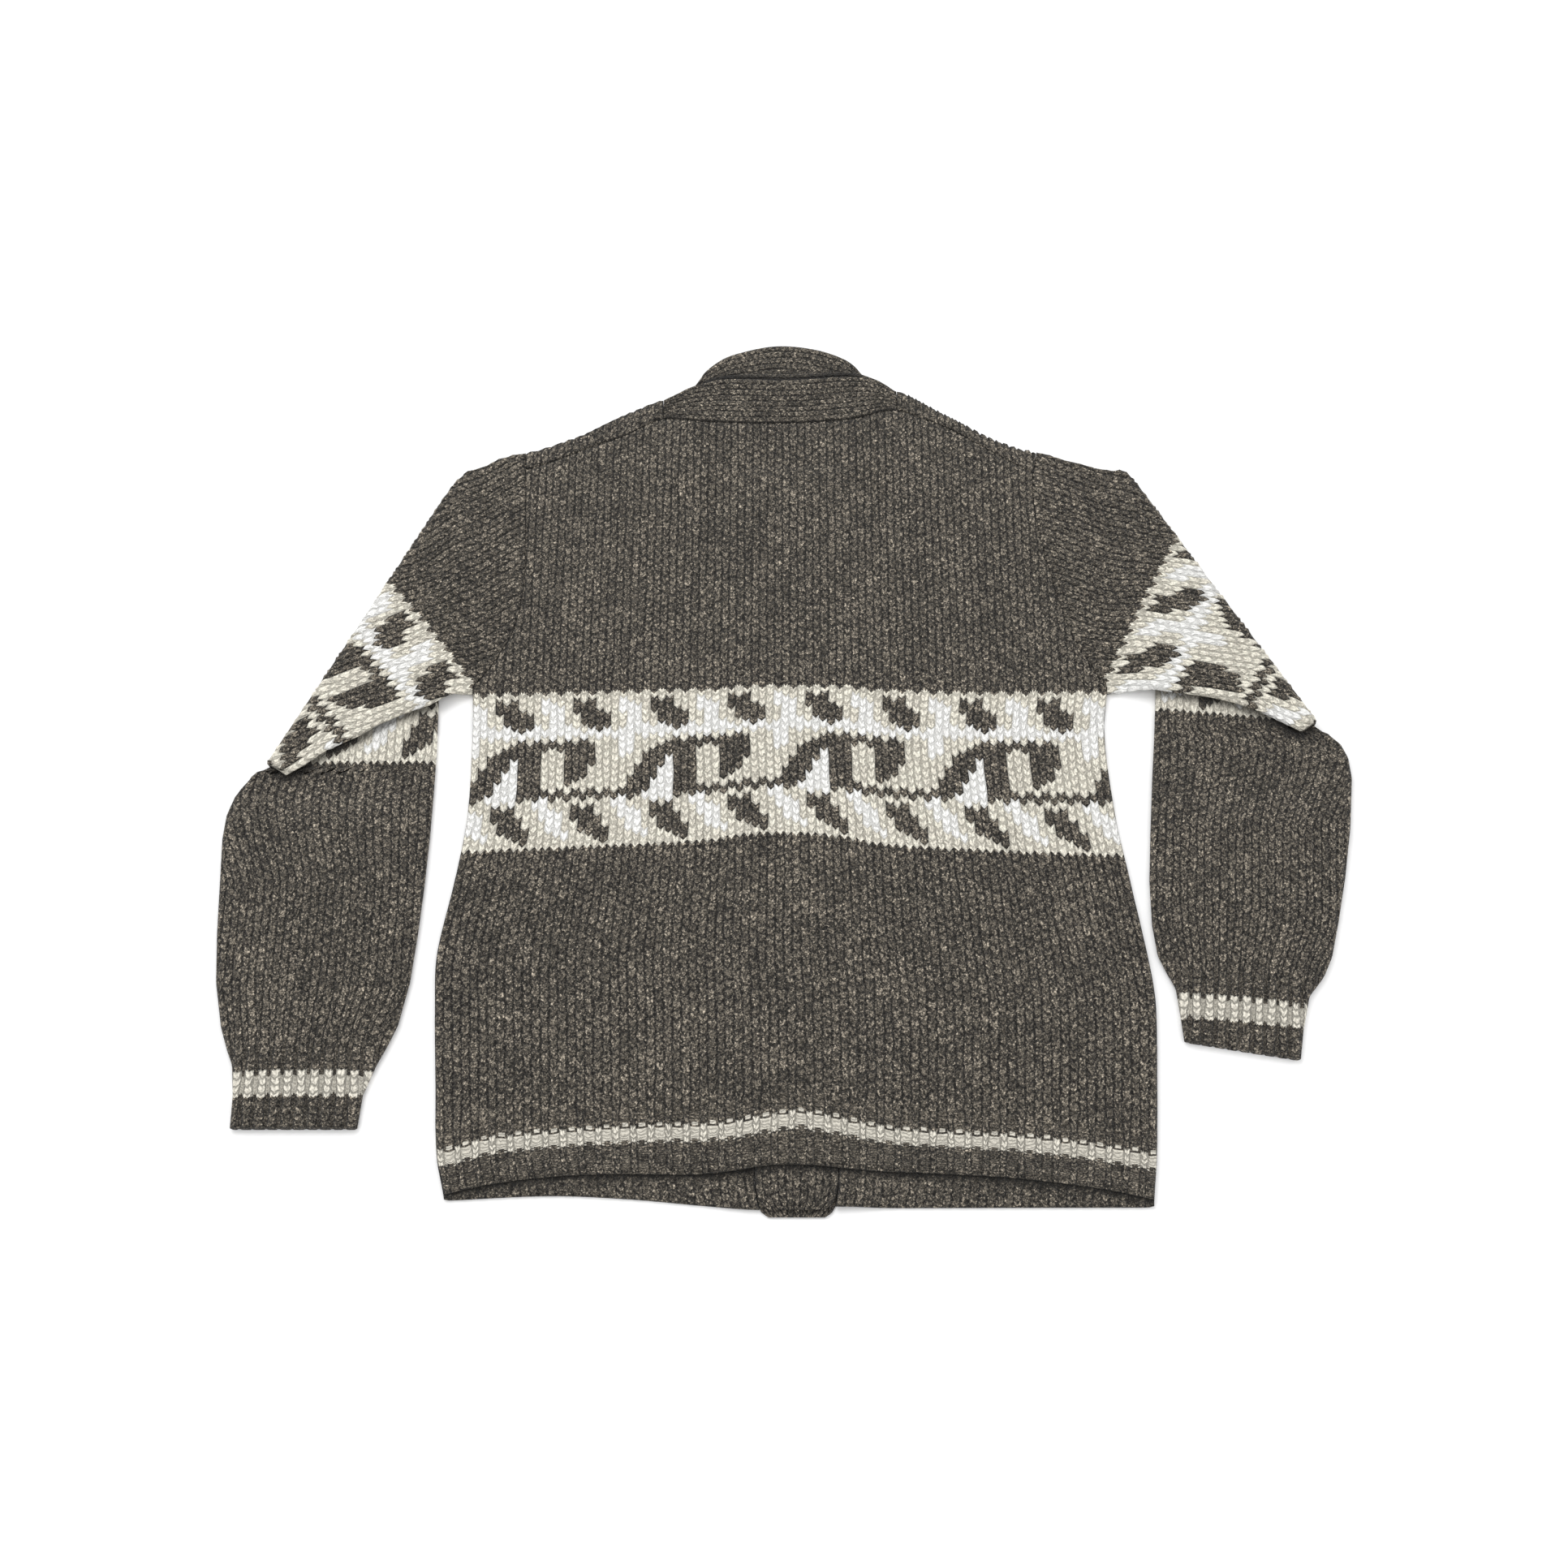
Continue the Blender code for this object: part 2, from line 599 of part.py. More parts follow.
class Sleeve:
    """A flat sleeve, folded under along one line. Rings run round it from the armhole to the cuff."""

    def __init__(self, arm, forearm, side, sag):
        self.solid = Solid()
        self.arm, self.forearm, self.side, self.sag = arm, forearm, side, sag
        column = 0 if side < 0 else -1
        top, under = arm[0][1], arm[0][3]
        self.armhole = [(plan[column][1], plan[column][0]) for plan in reversed(ROWS[FIRST_UPPER - 1 :])]
        self.shares = [(top - y) / (top - under) for y, _ in self.armhole]
        start, end = arm[-1][:2], arm[-1][2:]
        length = math.hypot(end[0] - start[0], end[1] - start[1])
        self.out = (side * abs(end[1] - start[1]) / length, abs(end[0] - start[0]) / length)

    def ring(self, start, end, height, bow=0.0, ribs=False):
        """One ring from the top edge across the outer layer to the underarm edge and back.

        height gives z from the share of the thickness, the place across and the plan point."""
        width = math.hypot(end[0] - start[0], end[1] - start[1])
        flat = SLEEVE_EDGE[0][0] / width
        across = [flat] + [t for t in self.shares if flat < t < 1 - flat] + [1 - flat]
        outer = [(t, t, 1.0, 0.0) for t in across]
        inner = [(1.1 + 1 - t, t, 0.0, 0.0) for t in reversed(across)]
        if ribs:
            places = rib_places(flat * width, (1 - flat) * width, CUFF_RIB)
            inner = [(1.1 + 1 - p / width, p / width, 0.0, rise) for p, rise in reversed(places)]
        edge = [(d / width, s) for d, s in SLEEVE_EDGE[1:-1]]
        under_edge = [(1.02 + 0.02 * k, 1 - d, s, 0.0) for k, (d, s) in enumerate(edge)]
        top_edge = [(2.12 + 0.02 * k, d, s, 0.0) for k, (d, s) in enumerate(reversed(edge))]
        row = []
        for place, t, share, rise in outer + under_edge + inner + top_edge:
            x, y = mix(start[0], end[0], t), mix(start[1], end[1], t)
            if bow > 0:
                straight = mix(self.arm[0][0], self.arm[0][2], t)
                height_at = mix(self.arm[0][1], self.arm[0][3], t)
                x += bow * (read_straight(self.armhole[::-1], height_at) + self.side * GAP - straight)
            row.append((place, len(self.solid.points)))
            self.solid.points.append(height(x, y, t, share, rise))
        return row + [(2.2, row[0][1])]

    def upper(self, x, y, t, share, along):
        lift = ease((x - self.sag[0]) / (self.sag[1] - self.sag[0])) * (FOLD_AXIS + FOLD_IN)
        crown = ARM_CROWN * share * math.sin(math.pi * along) * math.sin(math.pi * min(max(t, 0), 1))
        return x, y, lift + share * SLEEVE_WALL + crown

    def turn(self, x, y, share, angle):
        reach = FOLD_IN + share * SLEEVE_WALL
        shift = reach * math.sin(angle) - FOLD_OUT
        return x + self.out[0] * shift, y + self.out[1] * shift, FOLD_AXIS + reach * math.cos(angle)

    def lower(self, x, y, t, share, rise, puff):
        crown = puff * math.sin(math.pi * min(max(t, 0), 1)) ** 0.7
        return x, y, (1 - share) * (SLEEVE_WALL + crown + rise)

    def mouth(self, start, end, back):
        """A ring inside the cuff, at its mouth or further back."""
        middle = SLEEVE_WALL / 2
        inset = WALL / math.hypot(end[0] - start[0], end[1] - start[1])
        row = []
        for offset, z, places in (
            (0.0, middle - SLIT_HALF, (0.0, 0.25, 0.5, 0.75, 1.0)),
            (1.1, middle + SLIT_HALF, (1.0, 0.75, 0.5, 0.25, 0.0)),
        ):
            for k, t in enumerate(places):
                t = mix(inset, 1 - inset, t)
                row.append((offset + 0.25 * k, len(self.solid.points)))
                self.solid.points.append((mix(start[0], end[0], t), mix(start[1], end[1], t) + back, z))
        return row + [(2.2, row[0][1])]

    def make(self, name):
        solid, rings = self.solid, []
        steps = 2
        for k in range((len(self.arm) - 1) * steps + 1):
            row = min(k // steps, len(self.arm) - 2)
            share = k / steps - row
            low, high = self.arm[row], self.arm[row + 1]
            ends = [mix(a, b, share) for a, b in zip(low, high)]
            along = k / ((len(self.arm) - 1) * steps)
            inset = FOLD_OUT * along**3
            ends = [c - self.out[n % 2] * inset for n, c in enumerate(ends)]

            def arm_height(x, y, t, share, rise, along=along):
                return self.upper(x, y, t, share, along)

            rings.append(self.ring(ends[:2], ends[2:], arm_height, (1 - along) ** 2))
        start, end = self.arm[-1][:2], self.arm[-1][2:]
        for k in range(1, FOLD_STEPS + 1):
            angle = math.pi * k / FOLD_STEPS

            def fold_height(x, y, t, share, rise, angle=angle):
                return self.turn(x, y, share, angle)

            rings.append(self.ring(start, end, fold_height))
        previous = [c - self.out[n % 2] * FOLD_OUT for n, c in enumerate(self.arm[-1])]
        for j, row in enumerate(self.forearm):
            cuff = j >= len(self.forearm) - CUFF_ROWS
            for share in (1.0,) if cuff else (0.5, 1.0):
                ends = [mix(a, b, share) for a, b in zip(previous, row)]
                puff = FOREARM_CROWN * ease((FREE_FROM - ends[3]) / 50.0)
                puff *= ease((ends[3] - self.forearm[-1][3]) / 70.0)

                def forearm_height(x, y, t, share, rise, puff=puff):
                    return self.lower(x, y, t, share, rise, puff)

                rings.append(self.ring(ends[:2], ends[2:], forearm_height, ribs=cuff))
            previous = row
        rings.append(self.mouth(previous[:2], previous[2:], 0.0))
        rings.append(self.mouth(previous[:2], previous[2:], SLIT_DEPTH))
        solid.skin(rings)
        inner = [i for _, i in rings[-1][:-1]]
        half = len(inner) // 2
        solid.strip(list(enumerate(inner[:half])), list(enumerate(reversed(inner[half:]))))
        first = [i for _, i in rings[0][:-1]]
        flats = (len(first) - 6) // 2
        tops, under_edge = first[:flats], first[flats : flats + 3]
        bottoms, top_edge = first[flats + 3 : 2 * flats + 3], first[2 * flats + 3 :]
        over = [top_edge[1], top_edge[2]] + tops + [under_edge[0], under_edge[1]]
        below = [top_edge[1], top_edge[0]] + bottoms[::-1] + [under_edge[2], under_edge[1]]
        solid.strip(list(enumerate(over)), list(enumerate(below)))
        return solid.build(name, wool)


def make_button(name, y):
    """A plain domed button with a rim, resting on its face."""
    solid = Solid()
    rings = []
    for radius, z in BUTTON_PROFILE:
        row = []
        for k in range(BUTTON_SIDES):
            angle = 2 * math.pi * k / BUTTON_SIDES
            row.append((BAND_CENTRE + radius * math.cos(angle), y + radius * math.sin(angle), z))
        row = solid.row(row)
        rings.append(row + [row[0]])
    solid.skin(rings)
    for ring, z in ((rings[0], BUTTON_PROFILE[0][1]), (rings[-1], BUTTON_PROFILE[-1][1])):
        hub = solid.row([(BAND_CENTRE, y, z)])[0][1]
        solid.faces += [(a[1], b[1], hub) for a, b in zip(ring, ring[1:])]
    return solid.build(name, leather)


def make_material(name, colour, roughness):
    material = bpy.data.materials.new(name)
    material.use_nodes = True
    shader = material.node_tree.nodes["Principled BSDF"]
    shader.inputs["Base Color"].default_value = colour
    shader.inputs["Roughness"].default_value = roughness
    shader.inputs["Metallic"].default_value = 0.0
    return material


def settle(pieces):
    """Moves all pieces so that the middle of their box is over the origin and they rest at height zero."""
    points = [v.co for piece in pieces for v in piece.data.vertices]
    low = [min(p[axis] for p in points) for axis in range(3)]
    high = [max(p[axis] for p in points) for axis in range(3)]
    shift = ((low[0] + high[0]) / 2, (low[1] + high[1]) / 2, low[2])
    for piece in pieces:
        for vertex in piece.data.vertices:
            vertex.co = [c - d for c, d in zip(vertex.co, shift)]


for old in list(bpy.data.objects):
    bpy.data.objects.remove(old)
collection = bpy.data.collections.new(NAME)
bpy.context.scene.collection.children.link(collection)
wool = make_material("wool_knit", WOOL, 0.95)
trim = make_material("wool_trim", TRIM_WOOL, 0.95)
leather = make_material("button_leather", LEATHER, 0.5)

pieces = [
    make_back(),
    make_front("front_left", list(range(0, LEFT_SEAM + 1)), True, LEFT_FRONT_RISE),
    make_front("front_right", list(range(RIGHT_SEAM, COUNT)), False, 1.0),
    make_band("band_button", BUTTON_BAND_SHORT, 0.0),
    make_band("band_buttonhole", 0.0, BAND_WALL + GAP),
    make_collar(
        "collar_back", (NECK_LEFT + 0.5, NECK_RIGHT - 0.5),
        lambda x: read_straight(ROWS[-1], x) + GAP, lambda x: read(COLLAR_TOP, x),
        lambda x: collar_base(x) + WALL + GAP, lambda x: read(COLLAR_TOP, x, 2), False,
    ),
    make_collar(
        "collar_left", COLLAR_LEFT_SPAN,
        lambda x: read_straight(NECKLINE, x) + GAP, lambda x: read(COLLAR_EDGE, x, 1),
        lambda x: 0.0, lambda x: 0.0, True,
    ),
    make_collar(
        "collar_right", COLLAR_RIGHT_SPAN,
        lambda x: read_straight(NECKLINE, x) + GAP, lambda x: read(COLLAR_EDGE, x, 2),
        collar_base, lambda x: 0.0, True,
    ),
    Sleeve(ARM_LEFT, FOREARM_LEFT, -1, SAG_LEFT).make("sleeve_left"),
    Sleeve(ARM_RIGHT, FOREARM_RIGHT, 1, SAG_RIGHT).make("sleeve_right"),
]
for k in range(BUTTON_COUNT):
    height = mix(BUTTON_FIRST_Y, BUTTON_LAST_Y, k / (BUTTON_COUNT - 1))
    pieces.append(make_button(f"button_{k + 1}", height))
settle(pieces)
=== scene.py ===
"""Hand-knitted wool cardigan laid face down: its knitting, buttons, floor, light and camera.

Lengths in the tables are millimetres on the cloth's own plan: X runs across from the centre line of the
back, Y up from the end of the front bands, Z up from the floor. Stitches are counted in wales across and in
half stitches along, because neighbouring wales are staggered by half a stitch."""

import math

import bmesh
import bpy
import numpy as np
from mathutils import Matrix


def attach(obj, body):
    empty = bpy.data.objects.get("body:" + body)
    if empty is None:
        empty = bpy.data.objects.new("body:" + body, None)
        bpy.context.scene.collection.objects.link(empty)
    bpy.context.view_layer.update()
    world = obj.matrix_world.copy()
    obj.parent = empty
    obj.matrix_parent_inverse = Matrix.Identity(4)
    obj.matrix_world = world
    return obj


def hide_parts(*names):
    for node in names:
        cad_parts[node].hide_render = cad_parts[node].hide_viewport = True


bl_info = {
    "name": "Knitted Cardigan",
    "version": (1, 0, 0),
    "blender": (4, 5, 0),
    "location": "View3D > Sidebar > Cardigan",
    "description": "Dresses the solids of a knitted cardigan with wool, leather buttons and a light stage",
    "category": "Object",
}

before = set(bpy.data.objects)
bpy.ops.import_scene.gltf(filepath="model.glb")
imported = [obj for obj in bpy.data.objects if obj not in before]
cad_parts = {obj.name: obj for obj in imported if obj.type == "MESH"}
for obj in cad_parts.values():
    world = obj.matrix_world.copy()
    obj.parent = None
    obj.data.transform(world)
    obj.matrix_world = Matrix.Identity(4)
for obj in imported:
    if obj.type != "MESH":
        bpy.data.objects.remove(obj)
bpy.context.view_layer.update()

MM = 0.001
PLAN_SHIFT = (-5.5, -424.75)  # from the plan to the settled frame

# Layers, and the ridge that the two front bands press into the back
WALL = 4.0
GAP = 0.3
SEAM = WALL + GAP / 2
BAND_CENTRE = 10.0
BAND_WALL = 3.6
RIDGE_RISE = 7.5
RIDGE = ((0.0, 1.0), (33.0, 1.0), (48.0, 0.75), (62.0, 0.3), (78.0, 0.0))  # distance from its middle, share
RIDGE_ALONG = ((0.0, 0.52), (15.0, 0.52), (45.0, 0.74), (78.0, 1.0), (900.0, 1.0))  # height, share

# Slight unevenness of cloth that has been laid down by hand
LUMPS = (  # middle x, y, half width, half length, turn in radians, rise
    (-150.0, 205.0, 26.0, 95.0, 0.35, 1.2),
    (-205.0, 300.0, 20.0, 60.0, -0.5, -0.9),
    (150.0, 240.0, 24.0, 110.0, -0.3, 1.1),
    (220.0, 150.0, 20.0, 70.0, 0.25, 1.0),
    (-85.0, 620.0, 24.0, 70.0, 0.5, 0.8),
    (120.0, 650.0, 26.0, 60.0, -0.6, 1.0),
    (-190.0, 560.0, 18.0, 60.0, 0.9, -0.9),
    (205.0, 560.0, 18.0, 55.0, -0.9, -0.9),
    (-60.0, 140.0, 30.0, 40.0, 1.3, 0.7),
    (90.0, 120.0, 34.0, 36.0, 1.8, 0.8),
)

# Outline of the body
BODY_EDGE = (  # height, left edge, right edge
    (0.0, -264.0, 288.0),
    (15.0, -265.5, 289.0),
    (50.0, -273.5, 293.5),
    (110.0, -278.3, 298.0),
    (180.0, -283.5, 301.8),
    (222.0, -284.8, 298.2),
    (290.0, -274.5, 288.5),
    (350.0, -267.6, 280.2),
    (430.0, -268.0, 275.5),
    (476.0, -270.5, 281.0),
)
ARMHOLE = (  # the same above the underarms
    (476.0, -270.5, 281.0),
    (500.0, -254.5, 267.0),
    (535.0, -238.5, 251.5),
    (580.0, -231.5, 240.5),
    (640.0, -232.5, 229.5),
    (690.0, -234.6, 225.8),
    (729.0, -237.0, 231.5),
)
UNDERARM = 476.0
BACK_TOP = (  # place across, shoulder and neck seams of the back
    (-237.0, 707.5),
    (-209.0, 718.4),
    (-170.0, 736.7),
    (-148.0, 745.5),
    (-127.0, 758.0),
    (-112.0, 765.0),
    (-87.0, 760.6),
    (-45.0, 757.6),
    (-3.0, 757.2),
    (35.0, 759.1),
    (70.0, 763.6),
    (105.0, 774.5),
    (131.0, 764.4),
    (158.0, 750.5),
    (196.0, 724.5),
    (232.0, 702.0),
)
SHOULDER_FOLD = (  # place across, edge where the fronts roll over to the back
    (-237.0, 728.0),
    (-217.0, 735.2),
    (-186.0, 749.0),
    (-163.0, 763.0),
    (-141.0, 775.5),
    (-112.0, 788.0),
    (105.0, 798.5),
    (113.0, 797.0),
    (143.0, 777.0),
    (165.0, 763.0),
    (185.0, 749.0),
    (213.0, 735.2),
    (232.0, 729.0),
)
BACK_HEM = (  # place across, lower edge
    (-267.0, 17.0),
    (-245.0, 22.7),
    (-207.0, 29.5),
    (-150.0, 34.0),
    (-68.0, 34.0),
    (-35.0, 36.5),
    (-10.0, 40.0),
    (17.0, 40.0),
    (50.0, 37.0),
    (110.0, 35.0),
    (180.0, 31.0),
    (250.0, 22.0),
    (291.0, 13.0),
)
FRONT_HEM = (
    (-267.0, 14.0),
    (-183.0, 17.8),
    (-120.0, 15.0),
    (-68.0, 10.0),
    (-23.0, 6.0),
    (43.0, 8.0),
    (85.0, 8.0),
    (150.0, 8.2),
    (291.0, 8.5),
)
TAB = (  # height, half the width of the bands
    (0.0, 22.0),
    (2.5, 26.5),
    (7.0, 29.5),
    (15.0, 31.6),
    (26.0, 32.85),
)

# Neck and collar
NECK = (-112.0, 105.0)
FRONT_NECK = (  # place across, height of the fronts' neck edge as a share of the way up to the back's
    (-112.0, 1.0),
    (-90.0, 0.925),
    (-68.0, 0.86),
    (-52.0, 0.83),
    (-38.0, 0.81),
    (-23.0, 0.8),
    (43.0, 0.8),
    (58.0, 0.815),
    (72.0, 0.845),
    (88.0, 0.9),
    (105.0, 1.0),
)
NECK_RISE = ((-112.0, 0.0), (-90.0, 1.0), (88.0, 1.0), (105.0, 0.0))  # share of a layer that the collar adds
COLLAR_TOP = (  # place across, upper edge of the back of the collar, lift of that edge
    (-111.5, 787.0, 0.0),
    (-100.0, 792.0, 0.0),
    (-82.0, 799.5, 1.5),
    (-58.0, 805.0, 3.5),
    (-30.0, 804.5, 4.5),
    (-3.0, 802.5, 5.5),
    (24.0, 804.5, 5.0),
    (52.0, 808.0, 3.5),
    (76.0, 808.0, 1.5),
    (94.0, 801.0, 0.0),
    (104.5, 797.0, 0.0),
)
COLLAR_EDGE = (  # place across, outer edge of the lower front of the collar, of the upper one
    (-111.0, 788.0, 787.0),
    (-96.0, 796.8, 795.3),
    (-82.0, 807.5, 802.5),
    (-74.0, 822.2, 808.2),
    (-56.0, 838.5, 814.5),
    (-35.0, 847.0, 816.5),
    (-15.0, 852.0, 817.0),
    (2.0, 853.0, 817.0),
    (22.0, 850.5, 817.5),
    (40.0, 845.5, 818.5),
    (58.0, 836.6, 819.1),
    (67.0, 828.3, 817.8),
    (74.0, 818.2, 815.7),
    (94.0, 806.5, 806.0),
    (104.5, 799.0, 799.0),
)

# Colour band and hem stripe of the back
BAND_TOP = (  # place across, upper edge of the colour band on the back
    (-270.0, 467.7),
    (-138.0, 472.0),
    (-82.0, 473.6),
    (3.0, 472.8),
    (94.0, 472.8),
    (165.0, 470.3),
    (286.0, 471.2),
)
BAND_BOTTOM = (  # place across, lower edge of the colour band
    (-270.0, 318.1),
    (-181.0, 322.6),
    (-113.0, 325.7),
    (3.0, 331.8),
    (91.0, 324.2),
    (193.0, 318.1),
    (281.0, 315.0),
)
HEM_STRIPE = (  # place across, middle of the stripe
    (-271.0, 45.3),
    (-242.0, 54.5),
    (-212.0, 58.2),
    (-182.0, 61.0),
    (-152.0, 63.2),
    (-121.0, 64.9),
    (-91.0, 66.0),
    (-61.0, 66.4),
    (-37.0, 67.6),
    (-16.0, 71.5),
    (8.4, 75.0),
    (29.5, 71.5),
    (60.0, 66.0),
    (90.0, 62.5),
    (120.0, 60.4),
    (150.0, 58.8),
    (180.0, 57.2),
    (211.0, 54.0),
    (241.0, 50.1),
    (289.0, 42.4),
)

# Counts, in wales and half stitches
BODY_WALES = 82
FRONT_WALES = 36
STRIPE_ROW = 14.5
RIB_ROWS = 20
LOWER_ROWS = 56
BAND_ROWS = 40
BAND_START = RIB_ROWS + LOWER_ROWS
BAND_END = BAND_START + BAND_ROWS
CUFF_STRIPE_ROW = 11.5
CUFF_ROWS = 20
CUFF_RIBS = 10
SLEEVE_WALES = 40
ANCHOR = 19.5

# Millimetres
DARK_STEP = 4.15  # height of a half stitch of the dark knitting
EVEN_FROM = UNDERARM + 8.0  # height from which the rows of the back are evenly spaced
BAND_TOP_MEAN = 470.0  # about where the colour band ends
TABLE_HEIGHT = 250.0  # height at which a wale's place across picks its rows from the tables
RIB_HEIGHT = 62.0
RIB_ABOVE_STRIPE = 17.0
CUFF_STRIPE_AT = 35.0
SLEEVE_WALE = 6.5

# One repeat of the colour band is 20 wales of 20 stitches. Each entry fills some stitches of one wale,
# counted down from the top of the band. What no entry fills is beige.
DARK, BEIGE, CREAM, STRIPE = 0, 1, 2, 3
CHART_BACK = -36  # wale of the chart at the first wale of the back
CHART_SLEEVES = (-10, 48)  # the same on the left and right sleeves, of which the right runs backwards
CREAM_ROW = 5
DARK_ROW = 13
BORDER_STARTS = (0, 14)
BORDER = (  # wale of 10, yarn, first stitch, last stitch, counted from the start of a border
    (7, DARK, 1, 2),
    (8, DARK, 1, 3),
    (9, DARK, 1, 4),
    (0, DARK, 2, 4),
    (3, CREAM, 1, 2),
    (4, CREAM, 1, 3),
    (5, CREAM, 2, 4),
    (6, CREAM, 4, 4),
)
WAVE = (  # wale of 20, yarn, first stitch, last stitch
    (1, DARK, 3, 4),
    (11, DARK, 3, 4),
    (1, DARK, 18, 19),
    (11, DARK, 18, 19),
    (2, CREAM, 14, 14),
    (12, CREAM, 14, 14),
    (3, CREAM, 14, 14),
    (13, CREAM, 14, 14),
    (3, CREAM, 5, 8),
    (4, CREAM, 4, 7),
    (14, CREAM, 4, 4),
    (8, CREAM, 4, 4),
    (12, CREAM, 4, 4),
    (4, DARK, 11, 12),
    (5, DARK, 10, 12),
    (6, DARK, 8, 12),
    (7, DARK, 8, 11),
    (8, DARK, 7, 9),
    (9, DARK, 7, 8),
    (6, CREAM, 13, 13),
    (7, CREAM, 12, 14),
    (8, CREAM, 10, 13),
    (9, CREAM, 9, 14),
    (10, DARK, 6, 12),
    (11, DARK, 7, 12),
    (12, DARK, 6, 12),
    (13, DARK, 7, 7),
    (14, DARK, 6, 6),
    (15, DARK, 7, 7),
    (16, DARK, 6, 11),
    (17, DARK, 7, 11),
    (18, DARK, 6, 10),
    (19, DARK, 7, 9),
)

# Sleeves: the slab of both layers, and how it is folded
SLEEVE_WALL = 2 * WALL + GAP
FOLD_AXIS = SLEEVE_WALL + 0.4
FOLD_IN = 0.4
FOLD_OUT = FOLD_IN + SLEEVE_WALL
FOLD_LENGTH = math.pi * (FOLD_IN + SLEEVE_WALL / 2)
ARM_LEFT = (  # top edge x, y, underarm edge x, y, from armhole to fold
    (-237.3, 728.0, -270.8, 471.0),
    (-250.0, 725.0, -286.0, 468.0),
    (-262.0, 720.5, -304.0, 456.0),
    (-280.0, 707.5, -330.0, 445.5),
    (-290.0, 698.5, -348.0, 436.0),
    (-296.0, 692.0, -363.0, 425.0),
    (-301.0, 686.0, -391.0, 410.0),
    (-305.0, 680.0, -408.0, 396.0),
    (-308.0, 676.0, -423.0, 386.0),
    (-309.0, 674.0, -442.0, 399.0),
)
FOREARM_LEFT = (  # inner edge x, y, outer edge x, y, from fold to cuff
    (-303.5, 560.0, -451.0, 393.0),
    (-299.0, 458.0, -458.5, 382.0),
    (-297.5, 410.0, -466.0, 370.0),
    (-297.5, 370.0, -471.2, 352.0),
    (-297.8, 332.0, -472.4, 330.0),
    (-299.2, 287.0, -469.8, 286.0),
    (-301.5, 242.0, -467.3, 242.0),
    (-305.0, 198.0, -463.2, 198.0),
    (-312.0, 160.0, -455.0, 159.0),
    (-320.0, 140.0, -448.0, 139.0),
    (-326.5, 126.0, -442.5, 126.0),
    (-335.4, 100.0, -439.2, 100.0),
    (-337.6, 72.5, -438.6, 72.5),
)
ARM_RIGHT = (  # as on the left
    (231.8, 729.0, 281.3, 471.5),
    (244.0, 725.0, 300.0, 472.0),
    (258.0, 719.5, 322.0, 470.5),
    (286.0, 710.5, 366.0, 463.5),
    (303.0, 704.0, 388.0, 458.0),
    (314.0, 698.0, 405.0, 451.0),
    (320.0, 690.0, 421.0, 442.5),
    (325.0, 683.0, 434.0, 434.5),
    (327.0, 679.5, 445.0, 428.0),
    (328.5, 677.0, 460.0, 440.0),
)
FOREARM_RIGHT = (  # as on the left
    (325.5, 570.0, 468.0, 431.5),
    (322.5, 470.0, 478.5, 419.5),
    (318.0, 425.0, 483.0, 408.0),
    (313.5, 385.0, 484.0, 388.0),
    (308.5, 335.0, 477.5, 340.0),
    (304.5, 290.0, 468.0, 293.0),
    (303.8, 250.0, 458.0, 252.0),
    (306.5, 222.0, 449.5, 221.0),
    (313.0, 206.0, 441.0, 203.0),
    (319.0, 193.0, 427.5, 186.0),
    (321.0, 168.0, 419.5, 156.0),
    (322.4, 147.0, 414.9, 131.0),
)
LEAN_SPAN = (30.0, 120.0)  # how far above and below the top of the colour band the wales lean

# Cuffs, in distances from the end of the sleeve
IN_CUFF = 30.0  # where the width of the cuff is taken
ABOVE_CUFF = 160.0  # where the width of the forearm is taken
CUFF_GATHER = (130.0, 70.0)  # start and length of the narrowing

# Stitches of the collar, and of the front bands
COLLAR_WALE = 5.6
COLLAR_ROW = 6.2
TRIM_WALE = 6.0
TRIM_ROW = 8.3

# Buttons
BUTTONS = 6
BUTTON_SPAN = (92.0, 672.0)  # heights of the lowest and the highest
BUTTON_SIDES = 48
BUTTON_PROFILE = (  # radius, height
    (4.0, 0.2),
    (8.0, 0.0),
    (10.8, 0.15),
    (11.7, 0.7),
    (12.0, 1.75),
    (11.7, 2.8),
    (10.5, 3.5),
    (5.0, 3.5),
)

# The camera stands before the band ends by this much
CAMERA_BACK = 619.7

# Marks of points past an edge, which are added up where a point is past several
PAST_LEFT, PAST_RIGHT, PAST_BOTTOM, PAST_TOP, PAST_NECK = 1, 2, 4, 8, 16

# Halves of a piece's flat layout: x, y, width, height
FIRST_HALF = (0.01, 0.01, 0.48, 0.97)
SECOND_HALF = (0.51, 0.01, 0.48, 0.97)


def mix(a, b, t):
    return a + (b - a) * t


def ease(t):
    """A smooth step from 0 to 1."""
    t = np.clip(t, 0.0, 1.0)
    return t * t * (3 - 2 * t)


def line(table, at, column=1):
    """A column of a table at places of its first column, straight between the rows."""
    table = np.array(table)
    return np.interp(at, table[:, 0], table[:, column])


def curve(table, at, column=1):
    """The same as a smooth curve through the rows."""
    table = np.array(table)
    places, values = table[:, 0], table[:, column]
    at = np.clip(at, places[0], places[-1])
    low = np.maximum(np.arange(len(table)) - 1, 0)
    high = np.minimum(np.arange(len(table)) + 1, len(table) - 1)
    slopes = (values[high] - values[low]) / (places[high] - places[low])
    k = np.clip(np.searchsorted(places, at, side="left") - 1, 0, len(table) - 2)
    span = places[k + 1] - places[k]
    t = (at - places[k]) / span
    bend = slopes[k] * t * (1 - t) ** 2 - slopes[k + 1] * t * t * (1 - t)
    return mix(values[k], values[k + 1], ease(t)) + span * bend


# Stitches

def stitch_parts(u, v):
    """Place within a stitch: from the side of the wale (0) to its middle (1), and along the stitch."""
    wale = np.floor(u + 1e-6)
    across = 1 - np.abs(2 * (u - wale) - 1)
    along = (v + wale % 2) / 2
    return across, along - np.floor(along + 1e-6)


